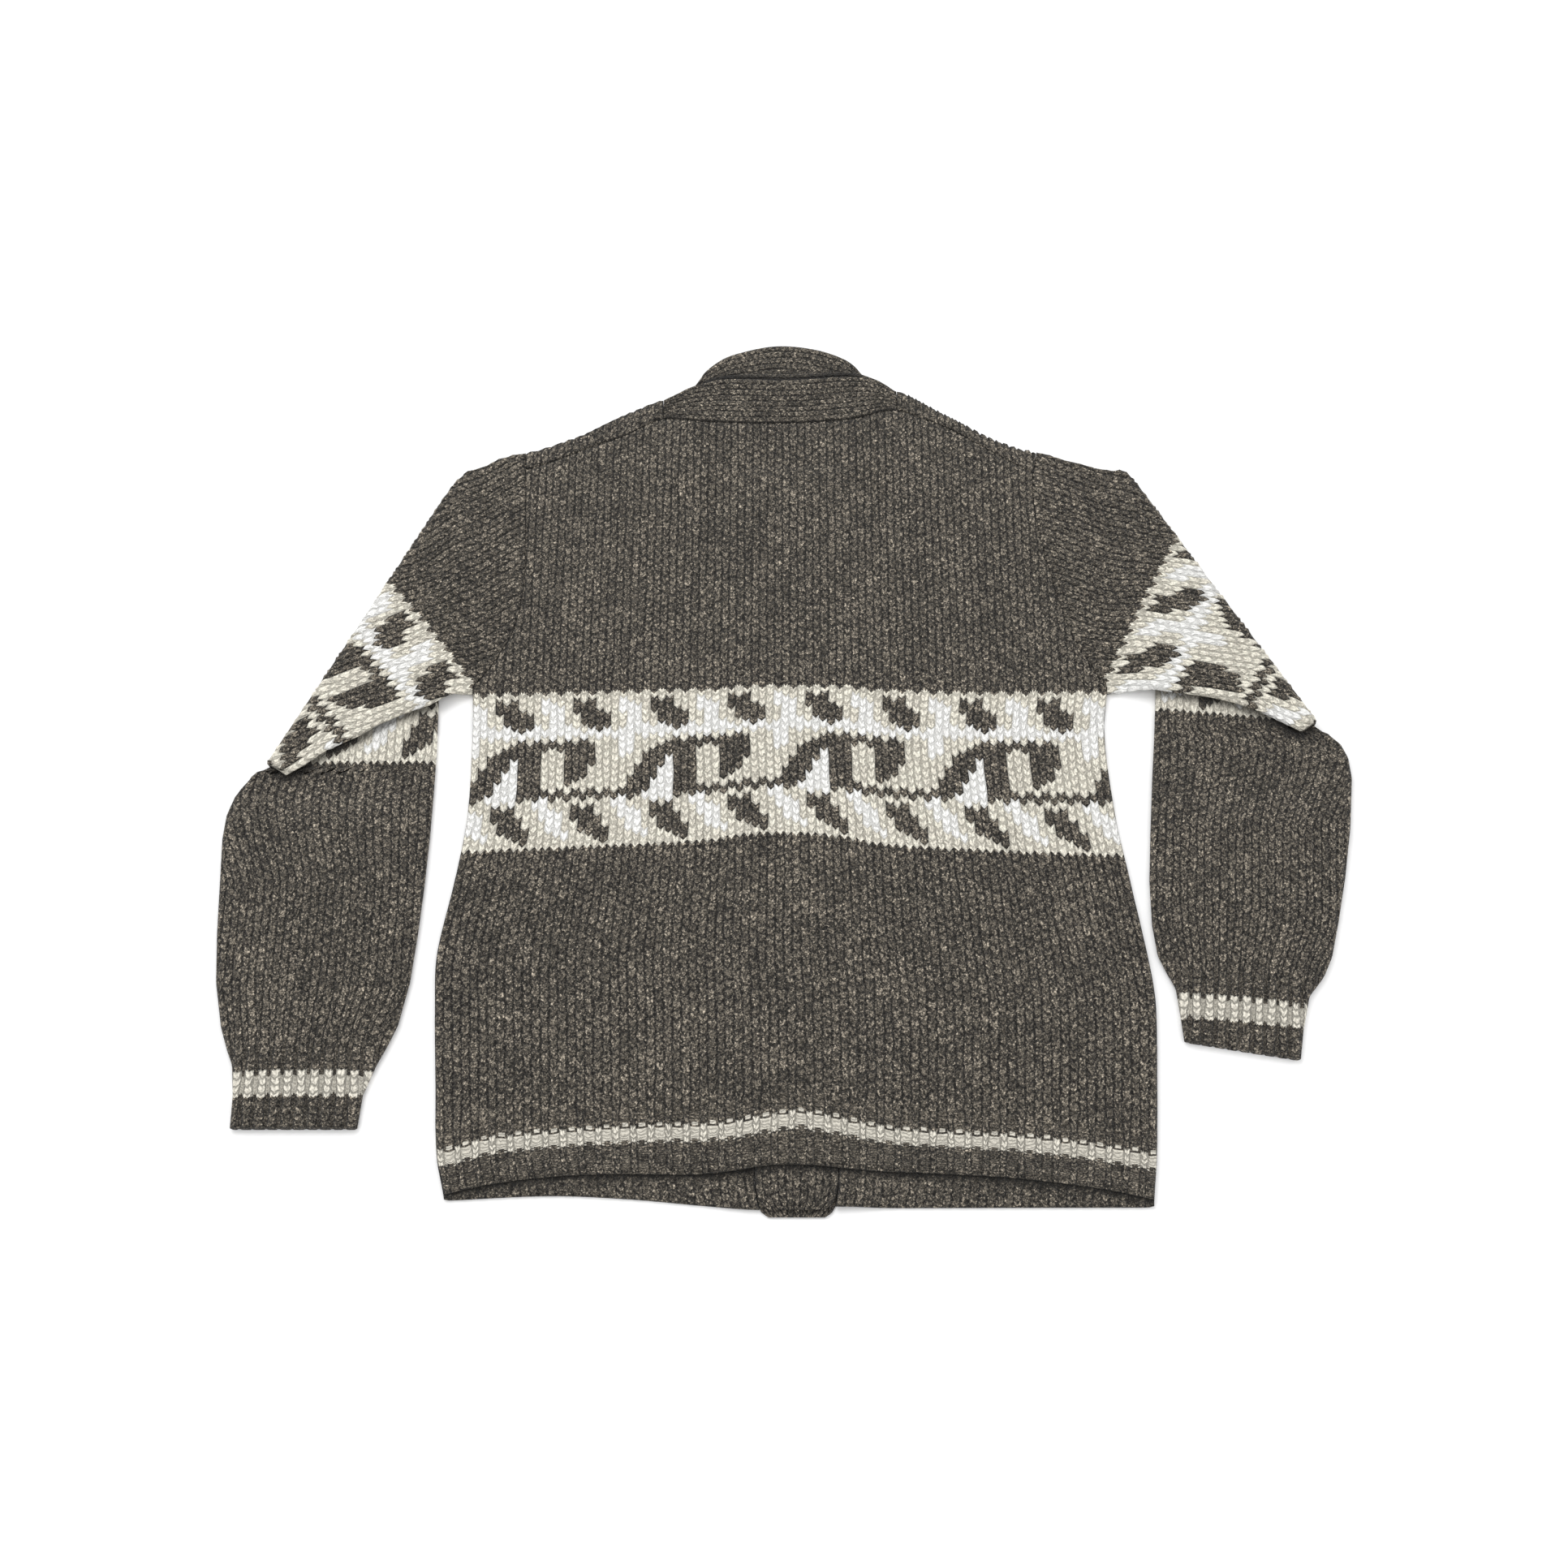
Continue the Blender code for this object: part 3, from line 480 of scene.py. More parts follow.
def knit_depth(u, v):
    """How far the surface lies under the crests of the stitches, from 0 to 1."""
    across, along = stitch_parts(u, v)
    valley = np.interp(across, (0.0, 0.5, 1.0), (1.0, 0.0, 0.38))
    return valley + (1 - valley) * 0.62 * (1 - np.sin(math.pi * along))


def zigzag(us, rows):
    """Grid of stitch places. Rows dip in the middle of each wale, as the points of the stitches do."""
    u, v = np.meshgrid(us, rows)
    return u, v, stitch_parts(u, v)[0]


def wander(u, v):
    """Drift of hand-made stitches off their places, in millimetres."""
    across = 0.35 * np.sin(0.29 * v + 1.9 * u) + 0.25 * np.sin(0.71 * v - 2.3 * u + 1.0)
    along = 0.4 * np.sin(0.37 * v + 2.6 * u + 2.0) + 0.25 * np.sin(0.93 * v - 1.3 * u)
    return across, along


def chart(wale, stitch):
    """Yarn of each stitch of the colour band, from its wale and its number down from the top of the band."""
    yarn = np.full(wale.shape, BEIGE)
    repeat = wale % 20
    yarn[stitch == CREAM_ROW] = CREAM
    yarn[(stitch == DARK_ROW) & ((repeat < 6) | (repeat > 9))] = DARK
    for start in BORDER_STARTS:
        for column, colour, first, last in BORDER:
            yarn[(wale % 10 == column) & (stitch >= start + first) & (stitch <= start + last)] = colour
    for column, colour, first, last in WAVE:
        yarn[(repeat == column) & (stitch >= first) & (stitch <= last)] = colour
    return yarn


def hem_ribs(v):
    """1 on the rows of the hem's ribbing, fading out above them."""
    return 1 - ease((v - RIB_ROWS) / 3.0)


def side_round(d):
    """Share of the cloth's thickness at a distance from its side edge."""
    return np.interp(d, (0, 0.7, 2, 4, 7), (0.06, 0.42, 0.74, 0.93, 1))


def cells(grid):
    """Middle of each cell of a grid."""
    return (grid[:-1, :-1] + grid[1:, :-1] + grid[:-1, 1:] + grid[1:, 1:]) / 4


def yarns(u, v, dip, top, wale_of):
    """Yarn of each cell of a stitch grid, with the colour band below the row top."""
    wale = np.floor(cells(u)).astype(int)
    middle = cells(v)
    odd = wale % 2
    centre = 2 * np.floor((middle + odd) / 2) + 1 - odd
    down = top - middle
    upper = np.where(odd == 1, down, down + cells(dip) + 0.3)
    band = (upper > 0) & (down < BAND_ROWS)
    stitch = np.floor((top - centre) / 2 + 1e-6)
    return np.where(band, chart(wale_of(wale), stitch), DARK)


def purl(u):
    """1 on the sunken wales of ribbing, 0 on the raised ones."""
    return np.interp(np.abs((u + 0.5) % 2 - 1), (0.5, 0.75), (0.0, 1.0))


def stripe(yarn, u, rise, loops):
    """Adds a light stripe across ribbing, with single light loops above and below it.

    rise counts half stitches up from the stripe's middle. off is 0 in the middle of a sunken wale and 1
    in the middle of a raised one."""
    off = 1 - np.abs((cells(u) + 0.5) % 2 - 1)
    rise = cells(rise)
    upper = np.where(off < 0.6, 2.1, np.where(off < 0.9, 3.0, 2.3))
    lower = np.where(off < 0.35, -1.5, np.where(off < 0.6, -2.0, -2.6))
    yarn[(rise < upper) & (rise > lower)] = STRIPE
    if loops:
        yarn[(off < 0.3) & (rise > 2.6) & (rise < 3.4)] = STRIPE
        yarn[(off > 0.3) & (off < 0.6) & (rise < -2.4) & (rise > -3.2)] = STRIPE
    return yarn


# Meshes

class Cloth:
    """Collects grids of points into one mesh, with stitch places, a flat layout and a yarn for each face."""

    def __init__(self, name, slot):
        self.name, self.slot = name, slot
        self.points, self.stitches, self.layout, self.kinds = [], [], [], []
        self.faces, self.colours, self.seam = [], [], []
        self.count = 0

    def grid(self, points, u, v, island, ribbed=0.0, painted_shade=0.0):
        """Adds a grid of points. island is the part of the flat layout that it gets: x, y, width, height.

        ribbed is 1 on the sunken wales of ribbing, and the last argument is the painted shade: in the valleys
        between raised wales and where other pieces cast shadows."""
        rows, columns = u.shape
        index = self.count + np.arange(rows * columns).reshape(rows, columns)
        self.count += rows * columns
        self.points.append(points.reshape(-1, 3))
        self.kinds.append(np.stack([ribbed + 0 * u, painted_shade + 0 * u], -1).reshape(-1, 2))
        stitches = np.stack([u, v], -1).reshape(-1, 2)
        self.stitches.append(stitches)
        low, high = stitches.min(0), stitches.max(0)
        self.layout.append((stitches - low) / (high - low) * island[2:] + island[:2])
        return index

    def skin(self, index, gone, yarn=None, flip=False):
        """Faces of a grid. gone marks points past an edge, and faces wholly past one edge are left out."""
        corners = [gone[:-1, :-1], gone[:-1, 1:], gone[1:, 1:], gone[1:, :-1]]
        keep = (corners[0] & corners[1] & corners[2] & corners[3]) == 0
        quads = np.stack([index[:-1, :-1], index[:-1, 1:], index[1:, 1:], index[1:, :-1]], -1)[keep]
        self.faces.append(quads[:, ::-1] if flip else quads)
        self.colours.append(np.zeros(len(quads), int) if yarn is None else yarn[keep])
        return keep

    def rim(self, over, under, keep):
        """Joins the borders of two grids of the same size."""
        wide = np.pad(keep, 1)
        for crosswise in (False, True):
            if not crosswise:
                low, high = wide[:-1, 1:-1], wide[1:, 1:-1]
                first = (slice(None), slice(None, -1))
                second = (slice(None), slice(1, None))
            else:
                low, high = wide[1:-1, :-1], wide[1:-1, 1:]
                first = (slice(None, -1), slice(None))
                second = (slice(1, None), slice(None))
            edge = low != high
            quads = np.stack([over[first], over[second], under[second], under[first]], -1)[edge]
            self.faces.append(quads)
            self.colours.append(np.zeros(len(quads), int))

    def loop(self, index, keep):
        """Border of a grid's faces as one ring of points."""
        follow = {}
        wide = np.pad(keep, 1)
        for j, i in zip(*np.nonzero(keep)):
            corners = [index[j, i], index[j, i + 1], index[j + 1, i + 1], index[j + 1, i]]
            sides = (wide[j, i + 1], wide[j + 1, i + 2], wide[j + 2, i + 1], wide[j + 1, i])
            for k, joined in enumerate(sides):
                if not joined:
                    follow[corners[k]] = corners[(k + 1) % 4]
        start = min(follow)
        ring = [start]
        while follow[ring[-1]] != start:
            ring.append(follow[ring[-1]])
            if len(ring) > len(follow):
                raise RuntimeError(f"{self.name}: its border isn't one ring")
        return ring

    def sew(self, over, under):
        """Joins two rings of points that run side by side, with triangles."""
        points = np.concatenate(self.points)
        a, b = points[over], points[under]
        shift = int(np.argmin(np.sum((b - a[0]) ** 2, 1)))
        under = under[shift:] + under[:shift]
        b = np.roll(b, -shift, 0)
        i, j = 0, 0
        while i < len(over) or j < len(under):
            next_i, next_j = (i + 1) % len(over), (j + 1) % len(under)
            step_over = np.sum((a[next_i] - b[j % len(under)]) ** 2)
            step_under = np.sum((b[next_j] - a[i % len(over)]) ** 2)
            if j >= len(under) or (i < len(over) and step_over <= step_under):
                self.seam.append((over[i % len(over)], over[next_i], under[j % len(under)]))
                i += 1
            else:
                self.seam.append((over[i % len(over)], under[next_j], under[j % len(under)]))
                j += 1

    def build(self, materials):
        """Makes the mesh and its object, and puts them in the scene."""
        points = np.concatenate(self.points)
        stitches = np.concatenate(self.stitches)
        layout = np.concatenate(self.layout)
        kinds = np.concatenate(self.kinds)
        faces = np.concatenate(self.faces).tolist()
        colours = np.concatenate(self.colours).tolist()
        faces += [tuple(int(i) for i in face) for face in self.seam]
        colours += [DARK] * len(self.seam)
        points[:, 0] += PLAN_SHIFT[0]
        points[:, 1] += PLAN_SHIFT[1]
        mesh = bpy.data.meshes.new(self.name)
        mesh.from_pydata((points * MM).tolist(), [], faces)
        mesh.update()
        corners = np.zeros(len(mesh.loops), int)
        mesh.loops.foreach_get("vertex_index", corners)
        # The ribbing map holds the share of sunken rib wales and the painted shade
        for name, values in (("OFBake", layout), ("stitch", stitches), ("ribbing", kinds)):
            mesh.uv_layers.new(name=name).data.foreach_set("uv", values[corners].ravel())
        for material in materials:
            mesh.materials.append(material)
        mesh.polygons.foreach_set("material_index", np.minimum(colours, len(materials) - 1))
        form = bmesh.new()
        form.from_mesh(mesh)
        bmesh.ops.remove_doubles(form, verts=form.verts, dist=2e-6)
        bmesh.ops.dissolve_degenerate(form, edges=form.edges, dist=1e-6)
        loose = [v for v in form.verts if not v.link_faces]
        bmesh.ops.delete(form, geom=loose, context="VERTS")
        bmesh.ops.recalc_face_normals(form, faces=form.faces)
        for face in form.faces:
            face.smooth = True
        form.to_mesh(mesh)
        form.free()
        piece = bpy.data.objects.new(self.name, mesh)
        bpy.context.scene.collection.objects.link(piece)
        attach(piece, "root")
        return piece


# Shaders

class Shade:
    """A socket of a shader tree that can be used in sums."""

    def __init__(self, maker, socket):
        self.maker, self.socket = maker, socket

    def _math(self, operation, a, b):
        return self.maker.node("ShaderNodeMath", {"operation": operation}, {0: a, 1: b})

    def __add__(self, other):
        return self._math("ADD", self, other)

    def __radd__(self, other):
        return self._math("ADD", other, self)

    def __sub__(self, other):
        return self._math("SUBTRACT", self, other)

    def __rsub__(self, other):
        return self._math("SUBTRACT", other, self)

    def __mul__(self, other):
        return self._math("MULTIPLY", self, other)

    def __rmul__(self, other):
        return self._math("MULTIPLY", other, self)

    def output(self, index):
        """Another output of the same node."""
        return Shade(self.maker, self.socket.node.outputs[index])


class Maker:
    """Adds nodes to a material's tree."""

    def __init__(self, name):
        self.material = bpy.data.materials.new(name)
        self.material.use_nodes = True
        self.tree = self.material.node_tree
        self.shader = self.tree.nodes["Principled BSDF"]

    def node(self, kind, settings=None, sockets=None, output=0):
        """A node of any type, with its settings and then the values or links of its sockets."""
        node = self.tree.nodes.new(kind)
        for key, value in (settings or {}).items():
            if key == "stops":
                while len(node.color_ramp.elements) < len(value):
                    node.color_ramp.elements.new(0.5)
                for element, (place, colour) in zip(node.color_ramp.elements, value):
                    element.position = place
                    element.color = colour
            else:
                setattr(node, key, value)
        for key, value in (sockets or {}).items():
            if isinstance(value, Shade):
                self.tree.links.new(value.socket, node.inputs[key])
            else:
                node.inputs[key].default_value = value
        return Shade(self, node.outputs[output])

    def call(self, operation, *values, **settings):
        """A Math node by the name of its operation."""
        sockets = dict(enumerate(values))
        return self.node("ShaderNodeMath", {"operation": operation, **settings}, sockets)

    def blend(self, kind, share, a, b):
        """A mix of two colours."""
        settings = {"data_type": "RGBA", "blend_type": kind, "clamp_factor": True}
        return self.node("ShaderNodeMix", settings, {0: share, 6: a, 7: b}, output=2)

    def feed(self, socket, value):
        """Sets or links a socket of the material's shader."""
        if isinstance(value, Shade):
            self.tree.links.new(value.socket, self.shader.inputs[socket])
        else:
            self.shader.inputs[socket].default_value = value


def yarn_material(name, tones, fleck, depth, cavity, hollow, uneven, sheen):
    """Knitted yarn: flecked fibres, plump legs of each stitch, and painted shade in the hollows between the
    wales.

    tones are the ramp from the darkest fibres to the lightest, fleck the size of the flecks, depth the height
    of the bump in metres, cavity how strongly the painted shade darkens the hollows, hollow how dark that
    painted shade is next to the first tone, and uneven how far the fibres spoil the edges of the legs."""
    maker = Maker(name)
    place = maker.node("ShaderNodeTexCoord", output=3)

    def noise(scale, **sockets):
        values = {"Vector": place, "Scale": scale, "Detail": 2.0}
        values.update(sockets)
        return maker.node("ShaderNodeTexNoise", {}, values)

    def pair(vector):
        first = maker.node("ShaderNodeSeparateXYZ", sockets={0: vector})
        return first, first.output(1)

    u, v = pair(maker.node("ShaderNodeUVMap", {"uv_map": "stitch"}))
    ribbed, painted_shade = pair(maker.node("ShaderNodeUVMap", {"uv_map": "ribbing"}))
    warp_u, warp_v = pair(noise(260.0, Detail=1.0).output(1))
    u = u + (warp_u - 0.5) * 0.7
    v = v + (warp_v - 0.5) * 1.5

    wale = maker.call("FLOOR", u)
    across = 1 - maker.call("ABSOLUTE", (u - wale) * 2 - 1)
    half = maker.call("FLOORED_MODULO", wale, 2.0)
    along_all = (v + half) * 0.5
    row = maker.call("FLOOR", along_all)
    along = along_all - row
    kink = noise(620.0 / fleck, Roughness=0.6, Distortion=0.9)
    side = maker.call("ADD", across * 2.8 - 0.15, (kink - 0.5) * uneven, use_clamp=True)
    heart = 1 - maker.call("MULTIPLY_ADD", across, 3.4, -2.55, use_clamp=True) * 0.45
    wave = maker.call("SINE", along * math.pi) * 1.7 - 0.2
    plump = maker.call("ADD", wave, (kink - 0.5) * uneven, use_clamp=True)
    knit = side * heart * (0.15 + plump * 0.85)
    ridge = maker.call("ABSOLUTE", maker.call("SINE", (v + across * 0.35) * math.pi))
    form = knit + ribbed * (0.2 + ridge * 0.55 - knit)

    fine = noise(1000.0 / fleck, Roughness=0.7)
    soft = noise(24.0, Detail=3.0)
    cell = maker.node("ShaderNodeCombineXYZ", {}, {0: wale, 1: row, 2: 0.0})
    own = maker.node("ShaderNodeTexWhiteNoise", {"noise_dimensions": "3D"}, {"Vector": cell})

    tone = 0.5 + (fine - 0.5) * 0.8 + (kink - 0.5) * 0.75 + (soft - 0.5) * 0.1 + (own - 0.5) * 0.08
    stops = [(spot, (*colour, 1.0)) for spot, colour in tones]
    colour = maker.node("ShaderNodeValToRGB", {"stops": stops}, {0: tone})
    # Painted shade: the hollows between the wales and legs darken in the colour, and the ribbing map's
    # painted shade is laid over it
    shade = maker.call("MULTIPLY", 1 - form, cavity, use_clamp=True)
    shade = maker.call("MAXIMUM", shade, painted_shade * 0.95)
    dark = tuple(c * hollow for c in tones[0][1])
    colour = maker.blend("MIX", shade, colour, (*dark, 1.0))
    maker.feed("Base Color", colour)
    maker.feed("Roughness", 0.95)
    maker.feed("Specular IOR Level", 0.15)
    maker.feed("Sheen Weight", sheen)
    maker.feed("Sheen Roughness", 0.6)
    height = form + noise(1100.0, Roughness=0.7) * 0.5
    bump = maker.node("ShaderNodeBump", {}, {"Strength": 1.0, "Distance": depth, "Height": height})
    maker.feed("Normal", bump)
    return maker.material


def wool_materials():
    """Heather brown, beige and cream yarns and that of the stripes, made once, in the order of the chart."""
    names = ("heather_yarn", "beige_yarn", "cream_yarn", "stripe_yarn")
    if names[0] not in bpy.data.materials:
        look = bpy.context.scene.cardigan_wool
        heather, beige, cream = tuple(look.heather), tuple(look.beige), tuple(look.cream)
        between = tuple(mix(a, b, 0.5) * k for a, b, k in zip(beige, cream, (0.88, 0.86, 0.81)))

        def scaled(colour, k):
            return tuple(min(1.0, c * k) for c in colour)

        yarn_material(
            names[0],
            [
                (spot, scaled(heather, k))
                for spot, k in ((0.35, 0.2), (0.45, 0.75), (0.54, 1.55), (0.63, 3.2), (0.75, 7.6))
            ],
            look.fleck, depth=0.0018, cavity=0.9, hollow=0.14, uneven=2.4, sheen=0.1,
        )
        # The last column is how strongly the painted shade darkens the hollows
        for name, colour, low, high, cavity in (
            (names[1], beige, 0.66, 1.2, 0.6),
            (names[2], cream, 0.9, 1.0, 0.42),
            (names[3], between, 0.72, 1.1, 0.85),
        ):
            tones = ((0.32, scaled(colour, low)), (0.5, colour), (0.68, scaled(colour, high)))
            yarn_material(
                name, tones, look.fleck, depth=0.0016, cavity=cavity, hollow=0.26, uneven=0.7, sheen=0.05
            )
    return [bpy.data.materials[name] for name in names]


def leather_material():
    """Grained brown leather of the buttons."""
    maker = Maker("button_leather")
    place = maker.node("ShaderNodeTexCoord", output=3)
    grain = maker.node("ShaderNodeTexVoronoi", {}, {"Vector": place, "Scale": 900.0})
    cloud = maker.node("ShaderNodeTexNoise", {}, {"Vector": place, "Scale": 120.0, "Detail": 3.0})
    look = tuple(bpy.context.scene.cardigan_wool.leather)
    low = (*(c * 0.5 for c in look), 1.0)
    high = (*(min(1.0, c * 1.7) for c in look), 1.0)
    maker.feed("Base Color", maker.blend("MIX", cloud, low, high))
    maker.feed("Roughness", 0.35 + cloud * 0.3)
    bump = maker.node("ShaderNodeBump", {}, {"Strength": 0.4, "Distance": 0.0003, "Height": grain})
    maker.feed("Normal", bump)
    return maker.material


# Body

def ridge(x, y):
    """Rise of the cloth over the two front bands."""
    return RIDGE_RISE * curve(RIDGE, np.abs(x - BAND_CENTRE)) * curve(RIDGE_ALONG, y)


def top_height(x):
    """Height of the back's shoulder and neck seams."""
    return curve(BACK_TOP, x)


def seam_plane(x, y):
    """Height of the plane between fronts and back."""
    share = (y - UNDERARM) / (top_height(x) - UNDERARM)
    collar = (WALL + GAP) * line(NECK_RISE, x) * ease((share - 0.66) / 0.14)
    bands = ridge(x, y) * (1 - ease((share - 0.76) / 0.14))
    return SEAM + np.maximum(collar, bands)


def body_edges(y):
    """Left and right edge of the back, with the armholes."""
    low = y < UNDERARM
    left = np.where(low, curve(BODY_EDGE, y, 1), curve(ARMHOLE, y, 1))
    right = np.where(low, curve(BODY_EDGE, y, 2), curve(ARMHOLE, y, 2))
    return left, right


def wale_place(u, y):
    """Place across of a wale of the back. Above the underarms the wales run straight up."""
    y = np.minimum(y, UNDERARM)
    return mix(curve(BODY_EDGE, y, 1), curve(BODY_EDGE, y, 2), u / BODY_WALES)


def clamp(x, y, bottom, top):
    """Points held inside the outline, and marks of the edges that they lay past."""
    gone = np.zeros(x.shape, int)
    gone |= np.where(y <= bottom, PAST_BOTTOM, 0) | np.where(y >= top, PAST_TOP, 0)
    y = np.clip(y, bottom, top)
    left, right = body_edges(y)
    gone |= np.where(x <= left, PAST_LEFT, 0) | np.where(x >= right, PAST_RIGHT, 0)
    return np.clip(x, left, right), y, gone


def back_height_at(u, v):
    """Height up the back of a stitch place."""
    x = wale_place(u, TABLE_HEIGHT)
    hem = curve(BACK_HEM, x)
    stripe_at = curve(HEM_STRIPE, x)
    above = BAND_END + (EVEN_FROM - BAND_TOP_MEAN) / DARK_STEP
    guides = [
        (0.0, hem),
        (STRIPE_ROW, stripe_at),
        (RIB_ROWS, stripe_at + RIB_ABOVE_STRIPE),
        (BAND_START, curve(BAND_BOTTOM, x)),
        (BAND_END, curve(BAND_TOP, x)),
        (above, np.full(x.shape, EVEN_FROM)),
    ]
    y = hem.copy()
    for (v0, y0), (v1, y1) in zip(guides, guides[1:]):
        y = np.where(v >= v0, mix(y0, y1, (v - v0) / (v1 - v0)), y)
    return np.where(v > above, EVEN_FROM + (v - above) * DARK_STEP, y)


def rows_between(start, end, fine):
    """Places of the rows of a grid, in half stitches, with zones that have more rows."""
    rows = [start]
    while rows[-1] < end - 1e-6:
        step = 1.0
        for low, high, zone_step in fine:
            if low - 1e-6 <= rows[-1] < high - 1e-6:
                step = zone_step
        rows.append(min(rows[-1] + step, end))
    return np.array(rows)


def lumps(x, y):
    """Rise of the back over its uneven places."""
    total = np.zeros(x.shape)
    for cx, cy, wide, tall, turn, rise in LUMPS:
        dx, dy = x - cx, y - cy
        p = dx * math.cos(turn) + dy * math.sin(turn)
        q = dy * math.cos(turn) - dx * math.sin(turn)
        total += rise * np.exp(-((p / wide) ** 2) - (q / tall) ** 2)
    return total


def make_back():
    """The back, finely gridded above and coarsely below."""
    cloth = Cloth("back_knit", "wool_knit")
    fine = ((9.0, 20.0, 0.5), (BAND_START - 1, BAND_END + 2, 0.5), (BAND_END + 2, 400, 2 / 3))
    rows = rows_between(0.0, BAND_END + 76.0, fine)
    us = np.arange(0, BODY_WALES * 4 + 1) / 4

    def surface(u, v, dip, over):
        y = back_height_at(u, np.maximum(v - dip, -2.0))
        y = np.where(v - dip < 0, y + (v - dip) * DARK_STEP, y)
        x = wale_place(u - 0.12 * np.sin(math.pi * (u - 0.5)) * hem_ribs(v), y)
        if over:
            shift = wander(u, v)
            x, y = x + shift[0], y + shift[1]
        x, y, gone = clamp(x, y, curve(BACK_HEM, x), top_height(x))
        left, right = body_edges(y)
        d = np.minimum(x - left, right - x)
        hem_off, top_off = y - curve(BACK_HEM, x), top_height(x) - y
        plane = seam_plane(x, y)
        if not over:
            side = np.where(y < UNDERARM, 0.15 * (1 - ease(d / 3.0)), 0.0)
            return np.stack([x, y, plane + 0.15 - side], -1), gone
        share = np.where(y < UNDERARM, side_round(d), 1.0)
        share = share * np.interp(hem_off, (0, 0.8, 2.5, 5), (0.35, 0.7, 0.93, 1))
        groove = np.where(y < UNDERARM, 0.0, 1.5 * np.exp(-((d / 2.6) ** 2)))
        groove = np.maximum(groove, 1.8 * np.exp(-((top_off / 2.6) ** 2)))
        zone = hem_ribs(v)
        depth = knit_depth(u, v) * mix(1.5, 0.8 * (1 - purl(u)), zone) + 1.3 * zone * purl(u)
        depth = np.minimum(depth, 1.6) + groove
        z = plane + 0.15 + WALL * share - depth * share + 0.35 + lumps(x, y) * share
        return np.stack([x, y, z], -1), gone

    u, v, dip = zigzag(us, rows)
    ribs = purl(u) * hem_ribs(v)
    dip = dip * (1 - ribs)
    points, gone = surface(u, v, dip, True)
    over = cloth.grid(points, u, v, FIRST_HALF, ribs)
    yarn = yarns(u, v, dip, BAND_END, lambda wale: wale + CHART_BACK)
    yarn = stripe(yarn, u, v - dip - STRIPE_ROW, True)
    keep = cloth.skin(over, gone, yarn)
    cu, cv = np.meshgrid(np.arange(0, BODY_WALES + 1, 2.0), rows_between(0.0, rows[-1], ((0, 400, 6.0),)))
    points, gone = surface(cu, cv, 0.0, False)
    under = cloth.grid(points, cu, cv, SECOND_HALF)
    keep_under = cloth.skin(under, gone, flip=True)
    cloth.sew(cloth.loop(over, keep), cloth.loop(under, keep_under))
    piece = cloth.build(wool_materials())
    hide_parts("back")
    return piece


# Sleeves

